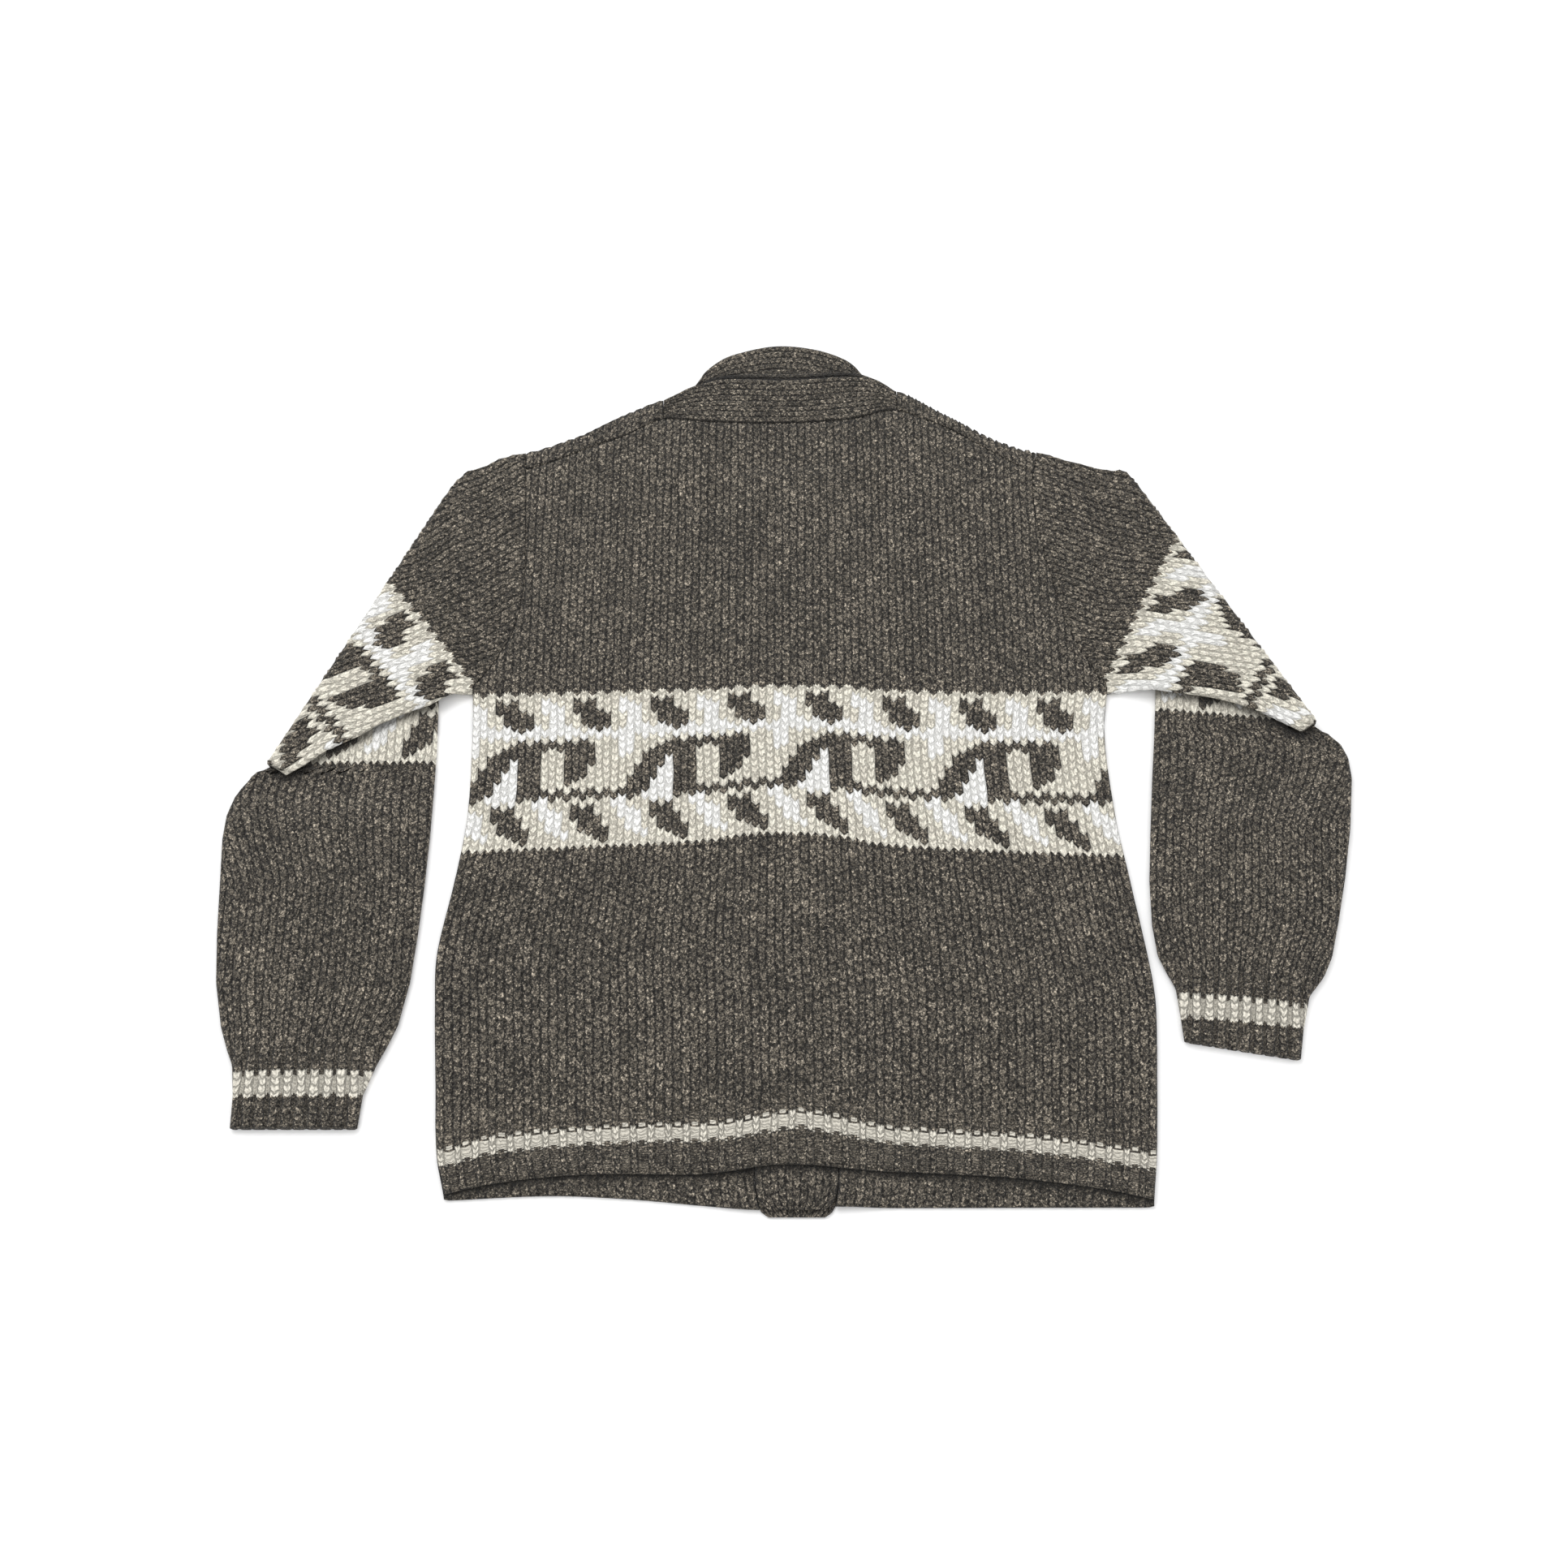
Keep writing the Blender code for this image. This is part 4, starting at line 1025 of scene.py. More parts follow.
class SleevePlan:
    """A sleeve unfolded on the plan, in distances across and along its own axis, and how it lies folded.

    side is -1 on the left and 1 on the right, slope the axis's angle in degrees, sag the places across
    between which the arm rises over the forearm, and band the start, middle and end of the colour band along
    the axis. The wale ANCHOR passes through anchor, and lean is how far the wales lean there."""

    def __init__(self, arm, forearm, side, slope, sag, band, anchor, lean):
        self.side, self.sag, self.band, self.anchor, self.lean = side, sag, band, anchor, lean
        angle = math.radians(slope)
        self.along_axis = np.array((side * math.cos(angle), -math.sin(angle)))
        self.across_axis = np.array((-side * math.sin(angle), -math.cos(angle)))
        start, end = np.array(arm[-1][:2]), np.array(arm[-1][2:])
        fold = (end - start) / np.hypot(*(end - start))
        self.out = np.array((-fold[1], fold[0])) * (1 if -fold[1] * side > 0 else -1)
        self.axis_point = start - self.out * FOLD_OUT
        arm, forearm = np.array(arm), np.array(forearm)
        fold_start, fold_end = self.axis_point, end - self.out * FOLD_OUT
        turned = self.out * FOLD_LENGTH
        within = (forearm[:, 2:] - self.axis_point) @ self.out < -3.0
        below = forearm[:, 3] < fold_end[1] - 2.0
        self.inner = self.by_height([fold_start, *forearm[:, :2]])
        self.outer = self.by_height([fold_start, fold_end, *forearm[below][:, 2:]])
        self.outer_straight = self.by_height([fold_start, fold_end, *forearm[within][:, 2:]])
        self.top = self.edge([*arm[:, :2], fold_start + turned, *self.unfold(forearm[:, :2])])
        unders = [*arm[:-1, 2:], fold_end, fold_end + turned, *self.unfold(forearm[within][:, 2:])]
        self.under = self.edge(unders)
        self.end = self.measure(self.unfold(forearm[-1:, :2]))[0, 1]
        self.end_under = self.measure(self.unfold(forearm[-1:, 2:]))[0, 1]
        heights = np.linspace(471.0, 728.5, 40)
        seam = body_edges(heights)[0 if side < 0 else 1]
        places = self.measure(np.stack([seam + side * GAP, heights], -1))
        self.armhole = places[np.argsort(places[:, 0])]
        self.cuff_y = forearm[-1, 3]
        self.flap = arm[2:, 2:]

    def shadow(self, points):
        """Painted shadow on the forearm close under the edge of the arm that lies across it."""
        spot = points[..., :2]
        nearest = np.full(spot.shape[:-1], 1e6)
        for start, end in zip(self.flap, self.flap[1:]):
            way = end - start
            t = np.clip(((spot - start) @ way) / (way @ way), 0, 1)
            nearest = np.minimum(nearest, np.hypot(*np.moveaxis(spot - start - t[..., None] * way, -1, 0)))
        return np.exp(-((nearest / 5.5) ** 2))

    @staticmethod
    def by_height(points):
        """Points as a table of place across by height."""
        table = np.array(points)[:, ::-1]
        return table[np.argsort(table[:, 0])]

    def measure(self, plan):
        """Distances across and along the sleeve's axis."""
        return np.stack([plan @ self.across_axis, plan @ self.along_axis], -1)

    def edge(self, plan):
        """Points as a table of distance across by distance along."""
        table = self.measure(np.array(plan))[:, ::-1]
        return table[np.argsort(table[:, 0])]

    def unfold(self, plan):
        """Where a point of the lying forearm would be with the sleeve laid straight."""
        beyond = (plan - self.axis_point) @ self.out
        return plan + self.out * (FOLD_LENGTH - 2 * beyond)[..., None]

    def width_at(self, b):
        """Top and underarm edge at a distance along."""
        return line(self.top, b), line(self.under, b)

    def lie(self, a, b, outer, depth, rib_rise):
        """Where a point at a and b on one face of the sleeve lies. depth is counted inwards from the face."""
        top, under = self.width_at(b)
        d = np.maximum(np.minimum(a - top, under - a), 0.0)
        profile = np.interp(d, (0.0, 0.5, 1.3, 2.6, 4.4), (0.0, 0.5, 0.74, 0.93, 1.0))
        share = 0.5 + 0.5 * outer * profile
        t = np.clip((a - top) / np.maximum(under - top, 1.0), 0, 1)
        plan = a[..., None] * self.across_axis + b[..., None] * self.along_axis
        beyond = (plan - self.axis_point) @ self.out
        reach = FOLD_IN + share * SLEEVE_WALL - outer * depth * profile
        lift = ease((plan[..., 0] * self.side - self.sag[0]) / (self.sag[1] - self.sag[0])) * FOLD_OUT
        off = np.maximum(b - line(self.armhole, a), 0.0)
        climb = off / np.maximum(off - np.minimum(beyond, 0.0), 1.0)
        crown = 3.0 * share * np.sin(math.pi * climb) * np.sin(math.pi * t)
        groove = 1.4 * np.exp(-((off / 2.6) ** 2)) * (outer > 0)
        arm_z = lift + reach - FOLD_IN + crown - groove
        turned = np.clip(beyond / FOLD_LENGTH, 0, 1)
        angle = turned * math.pi
        fold_plan = plan - self.out * beyond[..., None] + self.out * (reach * np.sin(angle))[..., None]
        fold_z = FOLD_AXIS + reach * np.cos(angle)
        fore_plan = plan - self.out * (2 * beyond - FOLD_LENGTH)[..., None]
        for spot, part in ((fold_plan, turned * turned), (fore_plan, 1.0)):
            inner, straight = line(self.inner, spot[..., 1]), line(self.outer_straight, spot[..., 1])
            wide = straight - inner
            along = np.clip((spot[..., 0] - inner) / np.where(np.abs(wide) < 20, 1e6, wide), 0, 1)
            spot[..., 0] += part * along * (line(self.outer, spot[..., 1]) - straight)
        height = fore_plan[..., 1]
        puff = 6.0 * ease((385.0 - height) / 50.0) * ease((height - self.cuff_y) / 70.0)
        puff = puff * np.sin(math.pi * t) ** 0.7
        inner = 1 - share
        fore_z = SLEEVE_WALL + FOLD_IN - reach + inner * puff + (inner - share) * rib_rise * profile
        on_arm, on_fore = beyond <= 0, beyond >= FOLD_LENGTH
        place = np.where(on_arm[..., None], plan, np.where(on_fore[..., None], fore_plan, fold_plan))
        z = np.where(on_arm, arm_z, np.where(on_fore, fore_z, fold_z))
        return np.concatenate([place, z[..., None]], -1)


def make_sleeve(name, node, plan):
    """A sleeve's two faces. Rows count up from the cuff, which the points of the stitches face."""
    cloth = Cloth(name, "wool_knit")
    start = plan.armhole[:, 1].min()
    band_high, band_middle, band_low = plan.band
    end = max(plan.end, plan.end_under)
    band_row = CUFF_ROWS + 2 * round((end - RIB_HEIGHT - band_low) / DARK_STEP / 2)
    guides = (  # row, distance from the cuff's end
        (-2.0, -8.0),
        (0.0, 0.0),
        (CUFF_STRIPE_ROW, CUFF_STRIPE_AT),
        (CUFF_ROWS, RIB_HEIGHT),
        (band_row, end - band_low),
        (band_row + BAND_ROWS / 2, end - band_middle),
        (band_row + BAND_ROWS, end - band_high),
        (band_row + BAND_ROWS + (band_high - start) / DARK_STEP, end - start),
    )
    fine = ((8.0, 16.0, 0.5), (band_row + BAND_ROWS - 1, band_row + BAND_ROWS + 2, 0.5))
    rows = rows_between(0.0, math.ceil(guides[-1][0]) + 1.0, fine)
    us = np.arange(0, SLEEVE_WALES * 4 + 1) / 4
    u, v, dip = zigzag(us, rows)
    cuff = ease((CUFF_ROWS + 3 - v) / 3.0)
    dip = dip * (1 - cuff * purl(u))
    shift = wander(u, v)
    b = end - line(guides, v - dip) - shift[1]
    above, below = LEAN_SPAN
    bend = plan.lean * (np.clip(b, band_high - above, band_high + below) - plan.anchor[1])
    arm_a = plan.anchor[0] + (u - ANCHOR) * SLEEVE_WALE + bend
    cuff_top, cuff_under = plan.width_at(end - IN_CUFF)
    fore_top, fore_under = plan.width_at(end - ABOVE_CUFF)
    last_bend = plan.lean * (band_high + below - plan.anchor[1])
    u_middle = round(ANCHOR + ((fore_top + fore_under) / 2 - plan.anchor[0] - last_bend) / SLEEVE_WALE)
    rib_u = u + 0.2 * np.sin(math.pi * (u - 0.5))
    cuff_a = (cuff_top + cuff_under) / 2 + (rib_u - u_middle) * (cuff_under - cuff_top) / (2 * CUFF_RIBS)
    gather_start, gather_length = CUFF_GATHER
    a = mix(arm_a, cuff_a, ease((b - (end - gather_start)) / gather_length)) + shift[0]
    top, under = plan.width_at(b)
    share_across = np.clip((a - top) / (under - top), 0, 1)
    cuff_end = mix(plan.end, plan.end_under, share_across)
    gone = np.where(b >= cuff_end, PAST_BOTTOM, 0)
    b = np.minimum(b, cuff_end)
    hole = line(plan.armhole, a)
    b = np.maximum(b, hole)
    gone |= np.where(b <= hole + 1e-6, PAST_TOP, 0)
    top, under = plan.width_at(b)
    gone |= np.where(a <= top, PAST_LEFT, 0) | np.where(a >= under, PAST_RIGHT, 0)
    a = np.clip(a, top, under)
    ribs = purl(u) * cuff
    depth = knit_depth(u, v) * 1.5 * (1 - 0.5 * cuff) * (1 - ribs)
    rise = -2.2 * ribs
    left_start, right_start = CHART_SLEEVES
    wale_of = (lambda wale: wale + left_start) if plan.side < 0 else (lambda wale: right_start - wale)
    faces = []
    for outer, island in ((1.0, FIRST_HALF), (-1.0, SECOND_HALF)):
        points = plan.lie(a, b, outer, depth, rise)
        on_forearm = (points[..., 2] < SLEEVE_WALL + 1.0) & (outer < 0)
        # Painted shade in the sunken wales of the cuff, and the arm's painted shadow on the forearm
        painted_shade = np.maximum(ribs * 0.5, plan.shadow(points) * on_forearm)
        index = cloth.grid(points, u, v, island, ribs, painted_shade)
        yarn = yarns(u, v, dip, band_row + BAND_ROWS, wale_of)
        yarn = stripe(yarn, u, (v - dip - CUFF_STRIPE_ROW) * 0.8, False)
        keep = cloth.skin(index, gone, yarn, flip=outer < 0)
        faces.append(index)
    cloth.rim(faces[0], faces[1], keep)
    piece = cloth.build(wool_materials())
    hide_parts(node)
    return piece


# Fronts

def hem_shadow(x, y):
    """Painted shadow on what lies close under the hem of the back."""
    return np.exp(-((np.maximum(curve(BACK_HEM, x) - y - 1.5, 0.0) / 3.8) ** 2))


def front_neck(x):
    """Height of the fronts' neck edge."""
    return UNDERARM + (top_height(x) - UNDERARM) * line(FRONT_NECK, x)


def make_front(name, node, left):
    """A front's lower and upper face, from the hem to the shoulder seam, which it reaches over the roll."""
    cloth = Cloth(name, "wool_knit")
    rows = np.arange(0.0, 210.0)
    us = np.arange(0, FRONT_WALES * 2 + 1) / 2
    u, v, dip = zigzag(us, rows)
    rise = 0.45 if left else 1.0
    w = v - dip

    def across(outer_left, outer_right, half_gap):
        if left:
            return mix(outer_left, BAND_CENTRE - half_gap, u / FRONT_WALES)
        return mix(BAND_CENTRE + half_gap, outer_right, u / FRONT_WALES)

    x_hem = across(FRONT_HEM[0][0], FRONT_HEM[-1][0], TAB[-1][1] + GAP)
    hem = curve(FRONT_HEM, x_hem)
    ribs_end = hem + RIB_HEIGHT
    low, high = curve(BAND_BOTTOM, x_hem), curve(BAND_TOP, x_hem)
    path = mix(hem, ribs_end, w / RIB_ROWS)
    path = np.where(w >= RIB_ROWS, mix(ribs_end, low, (w - RIB_ROWS) / LOWER_ROWS), path)
    path = np.where(w >= BAND_START, mix(low, high, (w - BAND_START) / BAND_ROWS), path)
    path = np.where(w >= BAND_END, high + (w - BAND_END) * DARK_STEP, path)
    path = np.maximum(path, hem)
    gone = np.where(w <= 0, PAST_BOTTOM, 0)

    below_arm = np.minimum(path, UNDERARM)
    x = across(curve(BODY_EDGE, below_arm, 1), curve(BODY_EDGE, below_arm, 2), line(TAB, path) + GAP)
    point = NECK[0] if left else NECK[1]
    k = int(np.argmin(np.abs(x[-1] - point)))
    x[:, k] = mix(x[:, k], point, ease((path[:, k] - 430.0) / 40.0))
    shoulder = np.broadcast_to(np.arange(x.shape[1]) <= k if left else np.arange(x.shape[1]) >= k, x.shape)
    near = [k, k + 1] if left else [k - 1, k]
    gone[:, near] |= np.where(path[:, near] >= front_neck(point), PAST_NECK, 0)
    fold = curve(SHOULDER_FOLD, x) - SEAM
    turn_length = math.pi * (SEAM + 0.15) / 2
    limit = np.where(shoulder, fold + turn_length + (fold - top_height(x) - GAP), front_neck(x))
    gone |= np.where(path >= limit, PAST_TOP, 0)
    path = np.minimum(path, limit)
    angle = np.clip((path - fold) / turn_length, 0, 1) * math.pi
    angle = np.where(shoulder, angle, 0.0)
    over = np.where(shoulder, np.maximum(path - fold - turn_length, 0.0), 0.0)
    flat = np.where(shoulder, np.minimum(path, fold), path)
    edge_y = np.where(over > 0, fold - over, flat)
    edges = body_edges(np.minimum(edge_y, 728.0))
    if left:
        gone |= np.where(x <= edges[0], PAST_LEFT, 0)
        x = np.maximum(x, edges[0])
        d = x - edges[0]
    else:
        gone |= np.where(x >= edges[1], PAST_RIGHT, 0)
        x = np.minimum(x, edges[1])
        d = edges[1] - x
    base = (seam_plane(x, flat) - SEAM) * rise
    wall = np.where(edge_y < UNDERARM, side_round(d), 1.0)
    shown = flat < curve(BACK_HEM, x) - 2.0
    ribs = purl(u) * hem_ribs(v)
    faces = []
    for outer, island in ((True, FIRST_HALF), (False, SECOND_HALF)):
        depth = knit_depth(u, v) * 0.5
        if outer:
            reach = SEAM - (1 - wall) * WALL - np.where(angle > 0, depth * 2, 0)
        else:
            low = knit_depth(u, v) * 0.9 * (1 - purl(u)) + purl(u) * 1.2
            reach = np.where(angle > 0, 0.15, 0.15 + shown * low)
        y = flat + reach * np.sin(angle)
        y = np.where(over > 0, fold - over, y)
        z = SEAM - reach * np.cos(angle) + base * (angle == 0)
        # Painted shadow of the back's hem on the lower face, which shows below that hem
        painted_shade = 0.0 if outer else hem_shadow(x, flat)
        index = cloth.grid(np.stack([x, y, z], -1), u, v, island, ribs, painted_shade)
        yarn = yarns(u, v, dip, BAND_END, lambda wale: wale)
        yarn = stripe(yarn, u, v - dip - STRIPE_ROW, True)
        keep = cloth.skin(index, gone, yarn, flip=outer)
        faces.append(index)
    cloth.rim(faces[0], faces[1], keep)
    piece = cloth.build(wool_materials())
    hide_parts(node)
    return piece


# Collar and bands

def strip_piece(name, node, length, width, wale, row, shape, shadow):
    """A strip of close knitting with wales and rows of about the sizes given, with painted shade from shadow
    on its upper face.

    shape places points from shares along the length and across the width, the stitches' depth and whether
    they are on the upper face."""
    cloth = Cloth(name, "wool_trim")
    wales, count = max(2, round(width / wale)), max(4, round(length / row) * 2)
    us = np.arange(0, wales * 4 + 1) / 4
    u, v, dip = zigzag(us, np.arange(0.0, count + 1))
    w = np.clip(v - dip * ((v > 0) & (v < count)), 0, count)
    s, t = w / count, u / wales
    depth = knit_depth(u, v)
    gone = np.zeros(u.shape, int)
    points = shape(s, t, depth, True)
    painted_shade = shadow(points[..., 0], points[..., 1])
    over = cloth.grid(points, u, v, FIRST_HALF, 0.0, painted_shade)
    under = cloth.grid(shape(s, t, depth, False), u, v, SECOND_HALF)
    keep = cloth.skin(over, gone)
    cloth.skin(under, gone, flip=True)
    cloth.rim(over, under, keep)
    piece = cloth.build(wool_materials()[:1])
    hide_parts(node)
    length * MM
    return piece


def collar_shape(span, low_edge, high_edge, base, lift, rounded_below):
    """Shape of a collar piece between two edges. lift raises its upper edge."""
    def shape(s, t, depth, over):
        x = mix(span[0], span[1], s)
        y = mix(low_edge(x), high_edge(x), t)
        width = high_edge(x) - low_edge(x)
        z = base(x) + lift(x) * t * t
        edge = np.minimum((1 - t) * width, np.minimum((x - span[0]), (span[1] - x)) + 0.4)
        low = np.minimum(edge, t * width + 1.2)
        profile = np.interp(low, (0, 0.6, 1.6, 3.2, 5), (0.1, 0.5, 0.78, 0.95, 1))
        middle = z + WALL * (0.62 if rounded_below else 0.38)
        face = z + WALL + 0.3 - depth * 1.1 if over else z
        return np.stack([x, y, mix(middle, face, profile)], -1)

    return shape


def collar_base(x):
    """Height at which the collar's second layer lies."""
    return (WALL + GAP) * line(NECK_RISE, x)


def make_collar():
    """The back of the collar and its two crossed ends, with painted shadow where the piece above casts it and
    painted shade along the back's neck seam.
    """
    strip_piece(
        "collar_back_knit", "collar_back", 226.0, 42.0, COLLAR_WALE, COLLAR_ROW,
        collar_shape(
            (NECK[0] + 0.5, NECK[1] - 0.5),
            lambda x: top_height(x) + GAP, lambda x: curve(COLLAR_TOP, x),
            lambda x: collar_base(x) + WALL + GAP, lambda x: curve(COLLAR_TOP, x, 2), False,
        ),
        # Painted shade along the neck seam of the back
        lambda x, y: np.exp(-(((y - top_height(x)) / 1.8) ** 2)),
    )
    strip_piece(
        "collar_left_knit", "collar_left", 190.0, 122.0, COLLAR_WALE, COLLAR_ROW,
        collar_shape(
            (-111.0, 74.0), lambda x: front_neck(x) + GAP, lambda x: curve(COLLAR_EDGE, x, 1),
            lambda x: 0.0 * x, lambda x: 0.0 * x, True,
        ),
        # Painted shadow of the upper front's edge on the lower front
        lambda x, y: 0.7 * np.exp(-(((y - curve(COLLAR_EDGE, x, 2) - 3.2) / 2.4) ** 2)),
    )
    strip_piece(
        "collar_right_knit", "collar_right", 185.0, 104.0, COLLAR_WALE, COLLAR_ROW,
        collar_shape(
            (-76.0, 104.5), lambda x: front_neck(x) + GAP, lambda x: curve(COLLAR_EDGE, x, 2),
            collar_base, lambda x: 0.0 * x, True,
        ),
        # Painted shadow of the back's upper edge on the upper front
        lambda x, y: (
            np.exp(-(((y - curve(COLLAR_TOP, x) - 4.5) / 7.5) ** 4)) * ease((92 - np.abs(x + 4)) / 24)
        ),
    )


def make_bands():
    """The two front bands, one on the other."""
    top = UNDERARM + 0.8 * (top_height(BAND_CENTRE) - UNDERARM) - 1.0
    for name, node, short, drop in (
        ("button_band_knit", "band_button", 5.0, 0.0),
        ("buttonhole_band_knit", "band_buttonhole", 0.0, BAND_WALL + GAP),
    ):
        def shape(s, t, depth, over):
            y = mix(short, top, s)
            half = line(TAB, y - short)
            x = BAND_CENTRE + (2 * t - 1) * half
            z = seam_plane(BAND_CENTRE + 0 * x, y) - GAP / 2 - 0.2 - drop
            edge = np.minimum(half - np.abs(x - BAND_CENTRE), y - short)
            profile = np.interp(edge, (0, 0.6, 1.6, 3.0), (0.1, 0.55, 0.85, 1))
            middle = z - BAND_WALL / 2
            if over:
                return np.stack([x, y, mix(middle, z + 0.2 - depth * 0.9, profile)], -1)
            return np.stack([x, y, mix(middle, z - BAND_WALL, profile)], -1)

        width = round(2 * TAB[-1][1])
        # The back's hem casts a painted shadow on the ends of the bands
        strip_piece(name, node, top - short, width, TRIM_WALE, TRIM_ROW, shape, hem_shadow)


def make_buttons():
    """Plaited leather buttons, face down on the floor."""
    material = leather_material()
    for k in range(BUTTONS):
        y = mix(*BUTTON_SPAN, k / (BUTTONS - 1))
        form = bmesh.new()
        rings = []
        for radius, z in BUTTON_PROFILE:
            ring = []
            for i in range(BUTTON_SIDES):
                angle = 2 * math.pi * i / BUTTON_SIDES
                weave = 0.18 * math.sin(6 * angle + 0.25 * radius * radius) * (radius < 11)
                spot = (
                    BAND_CENTRE + PLAN_SHIFT[0] + radius * math.cos(angle),
                    y + PLAN_SHIFT[1] + radius * math.sin(angle),
                    max(z + weave, 0.0),
                )
                ring.append(form.verts.new([c * MM for c in spot]))
            rings.append(ring)
        for low, high in zip(rings, rings[1:]):
            for i in range(BUTTON_SIDES):
                following = (i + 1) % BUTTON_SIDES
                form.faces.new((low[i], low[following], high[following], high[i]))
        form.faces.new(rings[0])
        form.faces.new(rings[-1])
        bmesh.ops.recalc_face_normals(form, faces=form.faces)
        for face in form.faces:
            face.smooth = True
        mesh = bpy.data.meshes.new(f"leather_button_{k + 1}")
        form.to_mesh(mesh)
        form.free()
        mesh.materials.append(material)
        piece = bpy.data.objects.new(mesh.name, mesh)
        bpy.context.scene.collection.objects.link(piece)
        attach(piece, "root")
        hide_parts(f"button_{k + 1}")


# Settings and operators

class CARDIGAN_PG_wool(bpy.types.PropertyGroup):
    """Colours of the yarns and of the buttons."""

    heather: bpy.props.FloatVectorProperty(
        name="Heather", description="Dark brown heather yarn", default=(0.099, 0.086, 0.068),
        subtype="COLOR", size=3, min=0.0, max=1.0,
    )
    beige: bpy.props.FloatVectorProperty(
        name="Beige", description="Beige yarn of the colour bands", default=(0.865, 0.815, 0.70),
        subtype="COLOR", size=3, min=0.0, max=1.0,
    )
    cream: bpy.props.FloatVectorProperty(
        name="Cream", description="Cream yarn of the colour bands", default=(1.0, 0.995, 0.965),
        subtype="COLOR", size=3, min=0.0, max=1.0,
    )
    leather: bpy.props.FloatVectorProperty(
        name="Leather", description="Leather of the buttons", default=(0.095, 0.045, 0.022),
        subtype="COLOR", size=3, min=0.0, max=1.0,
    )
    fleck: bpy.props.FloatProperty(
        name="Fleck", description="Size of the flecks in the yarn, in millimetres", default=1.3,
        min=0.2, max=10.0,
    )


class CARDIGAN_PG_stage(bpy.types.PropertyGroup):
    """Camera and light."""

    tilt: bpy.props.FloatProperty(
        name="Tilt", description="Camera's angle above the floor", default=math.radians(61.5),
        subtype="ANGLE", min=0.0, max=math.pi / 2,
    )
    height: bpy.props.FloatProperty(
        name="Height", description="Camera's height above the floor", default=1.85, unit="LENGTH", min=0.1,
    )
    lens: bpy.props.FloatProperty(
        name="Lens", description="Focal length on a 36 mm sensor", default=56.65, unit="CAMERA", min=10.0,
    )
    lamp: bpy.props.FloatProperty(
        name="Lamp", description="Power of the soft lamp over the floor", default=26.0,
        unit="POWER", min=0.0,
    )
    sky: bpy.props.FloatProperty(
        name="Sky", description="Strength of the even light from all round", default=0.94, min=0.0,
    )


class CARDIGAN_OT_back(bpy.types.Operator):
    """Knit the back with its colour band, hem stripe and ribbing"""

    bl_idname = "cardigan.back"
    bl_label = "Back"

    def execute(self, context):
        make_back()
        return {"FINISHED"}


class CARDIGAN_OT_fronts(bpy.types.Operator):
    """Knit both fronts, rolled over the shoulders"""

    bl_idname = "cardigan.fronts"
    bl_label = "Fronts"

    def execute(self, context):
        make_front("front_left_knit", "front_left", True)
        make_front("front_right_knit", "front_right", False)
        return {"FINISHED"}


class CARDIGAN_OT_sleeves(bpy.types.Operator):
    """Knit both sleeves, folded under the body"""

    bl_idname = "cardigan.sleeves"
    bl_label = "Sleeves"

    def execute(self, context):
        left = SleevePlan(
            ARM_LEFT, FOREARM_LEFT, -1, 38.0, (268.0, 294.0), (-82.0, 7.5, 97.0), (-626.1, -57.2), -0.25
        )
        make_sleeve("sleeve_left_knit", "sleeve_left", left)
        right = SleevePlan(
            ARM_RIGHT, FOREARM_RIGHT, 1, 26.5, (284.0, 318.0), (34.0, 127.0, 210.0), (-654.4, 58.8), -0.3
        )
        make_sleeve("sleeve_right_knit", "sleeve_right", right)
        return {"FINISHED"}


class CARDIGAN_OT_trim(bpy.types.Operator):
    """Knit the collar and the two front bands"""

    bl_idname = "cardigan.trim"
    bl_label = "Collar and bands"

    def execute(self, context):
        make_collar()
        make_bands()
        return {"FINISHED"}


class CARDIGAN_OT_buttons(bpy.types.Operator):
    """Make the six leather buttons"""

    bl_idname = "cardigan.buttons"
    bl_label = "Buttons"

    def execute(self, context):
        make_buttons()
        return {"FINISHED"}


class CARDIGAN_OT_stage(bpy.types.Operator):
    """Lay the floor and set the light and the camera"""

    bl_idname = "cardigan.stage"
    bl_label = "Stage"

    def execute(self, context):
        make_stage(context.scene)
        return {"FINISHED"}


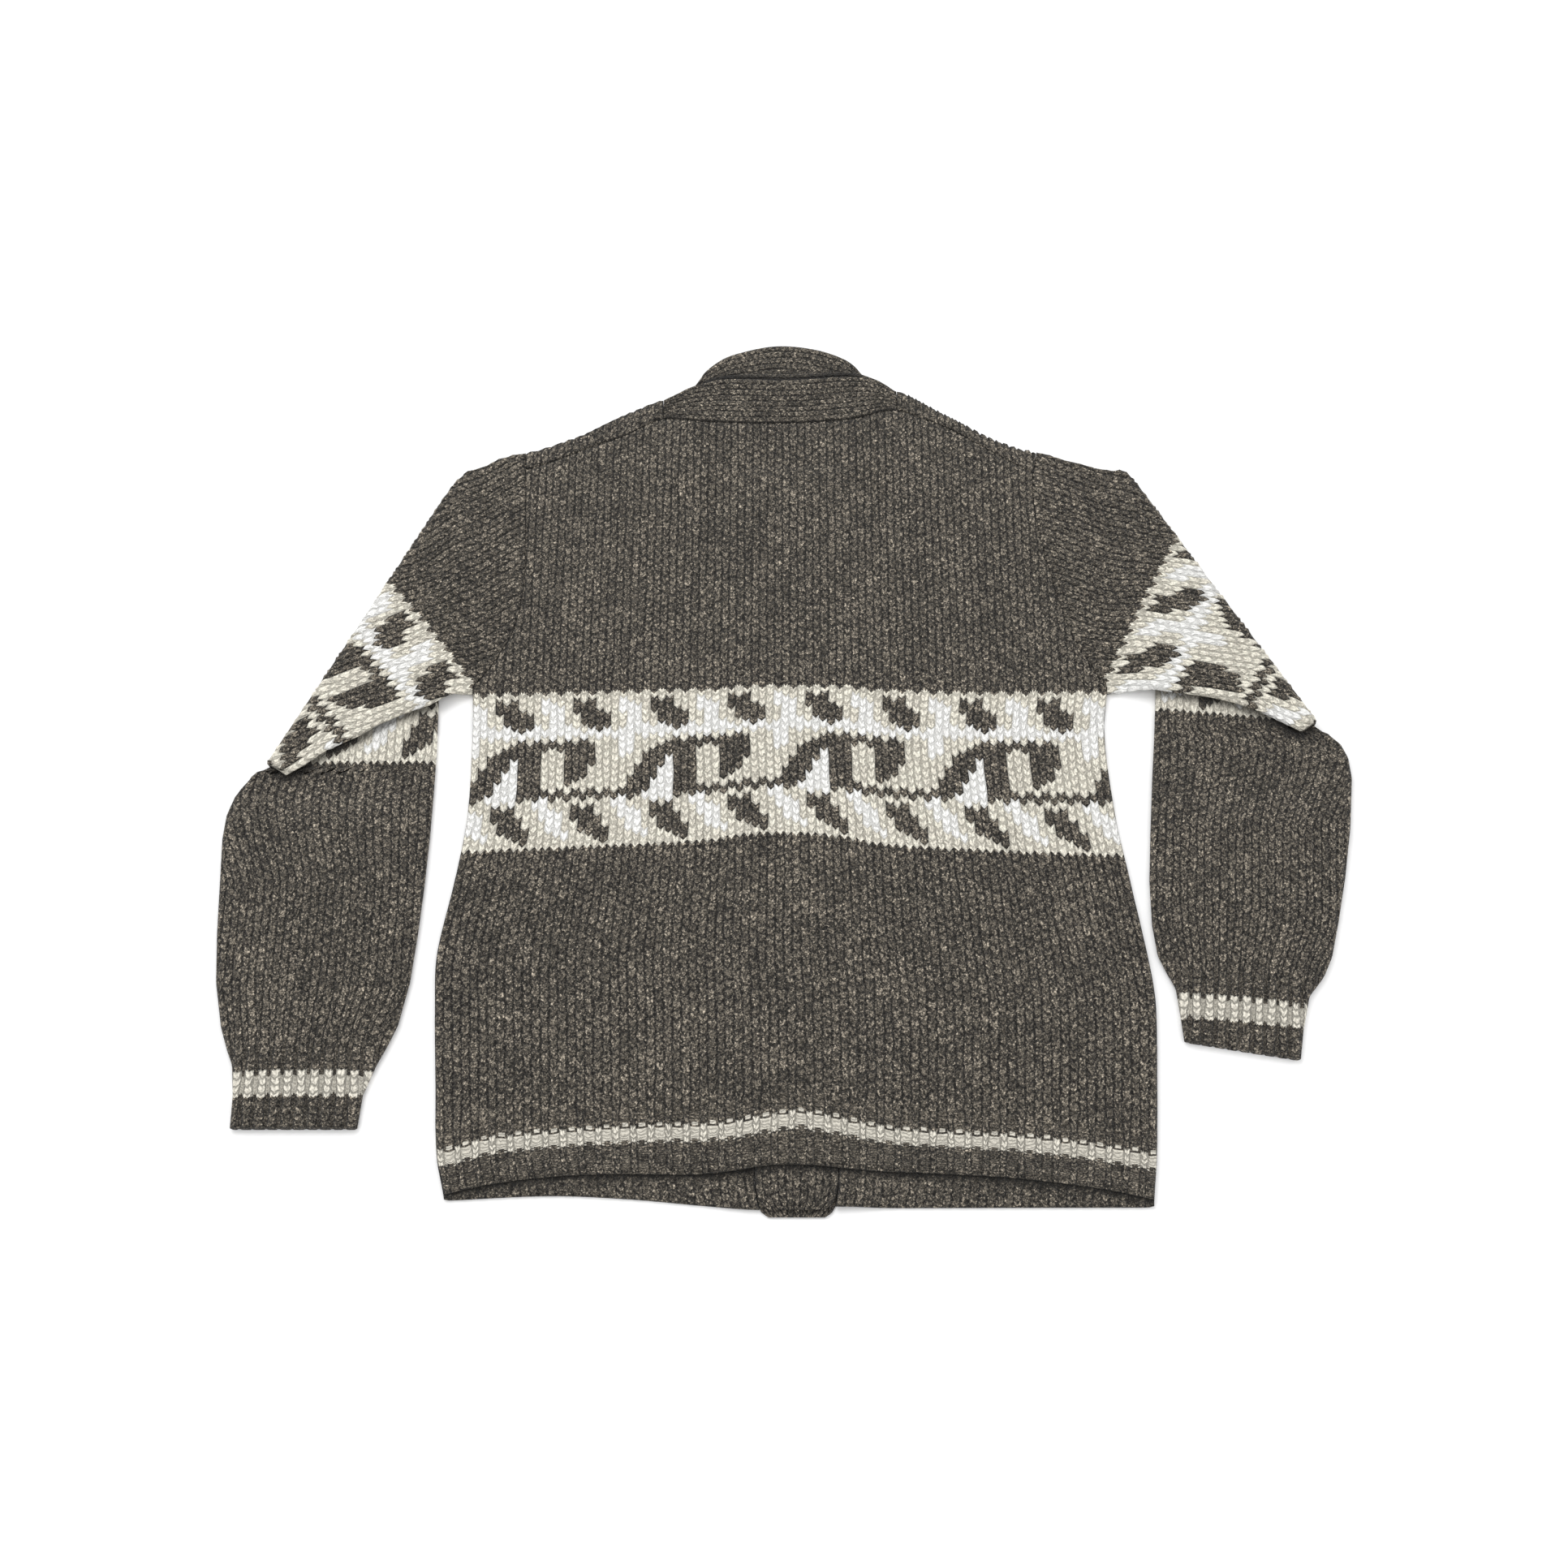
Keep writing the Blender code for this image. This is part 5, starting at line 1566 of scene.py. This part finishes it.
def make_stage(scene):
    """A plain pale floor in plain pale light, and the camera."""
    look = scene.cardigan_stage
    form = bmesh.new()
    bmesh.ops.create_grid(form, x_segments=2, y_segments=2, size=6.0)
    mesh = bpy.data.meshes.new("floor")
    form.to_mesh(mesh)
    form.free()
    floor = bpy.data.objects.new("floor", mesh)
    scene.collection.objects.link(floor)
    paint = Maker("floor_paint")
    paint.feed("Base Color", (0.93, 0.93, 0.93, 1.0))
    paint.feed("Roughness", 0.9)
    mesh.materials.append(paint.material)

    world = bpy.data.worlds.new("studio")
    scene.world = world
    world.use_nodes = True
    sky = world.node_tree.nodes["Background"]
    sky.inputs["Color"].default_value = (1.0, 1.0, 1.0, 1.0)
    sky.inputs["Strength"].default_value = look.sky
    for name, spot, turn, size, power in (
        ("lamp_over", (-0.9, 0.9, 2.4), (-24.0, -22.0, 0.0), 1.6, look.lamp),
        ("lamp_front", (0.8, -1.2, 2.6), (26.0, 18.0, 0.0), 2.0, look.lamp * 0.5),
    ):
        light = bpy.data.lights.new(name, "AREA")
        light.size = size
        light.energy = power
        lamp = bpy.data.objects.new(name, light)
        lamp.location = spot
        lamp.rotation_euler = [math.radians(a) for a in turn]
        scene.collection.objects.link(lamp)

    lens = bpy.data.cameras.new("camera")
    lens.lens = look.lens
    lens.sensor_width = 36.0
    camera = bpy.data.objects.new("camera", lens)
    camera.location = (PLAN_SHIFT[0] * MM, (PLAN_SHIFT[1] - CAMERA_BACK) * MM, look.height)
    camera.rotation_euler = (math.pi / 2 - look.tilt, 0.0, 0.0)
    scene.collection.objects.link(camera)
    scene.camera = camera
    scene.view_settings.view_transform = "Standard"


class CARDIGAN_PT_panel(bpy.types.Panel):
    """Lists the cardigan's pieces and settings"""

    bl_idname = "CARDIGAN_PT_panel"
    bl_label = "Cardigan"
    bl_space_type = "VIEW_3D"
    bl_region_type = "UI"
    bl_category = "Cardigan"

    def draw(self, context):
        for piece in OPERATORS:
            self.layout.operator(piece.bl_idname)
        for group in (context.scene.cardigan_wool, context.scene.cardigan_stage):
            for key in type(group).__annotations__:
                self.layout.prop(group, key)


GROUPS = (CARDIGAN_PG_wool, CARDIGAN_PG_stage)
OPERATORS = (
    CARDIGAN_OT_back,
    CARDIGAN_OT_fronts,
    CARDIGAN_OT_sleeves,
    CARDIGAN_OT_trim,
    CARDIGAN_OT_buttons,
    CARDIGAN_OT_stage,
)


def register():
    for item in GROUPS + OPERATORS + (CARDIGAN_PT_panel,):
        bpy.utils.register_class(item)
    bpy.types.Scene.cardigan_wool = bpy.props.PointerProperty(type=CARDIGAN_PG_wool)
    bpy.types.Scene.cardigan_stage = bpy.props.PointerProperty(type=CARDIGAN_PG_stage)


def unregister():
    del bpy.types.Scene.cardigan_wool
    del bpy.types.Scene.cardigan_stage
    for item in reversed(GROUPS + OPERATORS + (CARDIGAN_PT_panel,)):
        bpy.utils.unregister_class(item)


def main():
    register()
    bpy.ops.cardigan.back()
    bpy.ops.cardigan.fronts()
    bpy.ops.cardigan.sleeves()
    bpy.ops.cardigan.trim()
    bpy.ops.cardigan.buttons()
    bpy.ops.cardigan.stage()


if __name__ == "__main__":
    main()
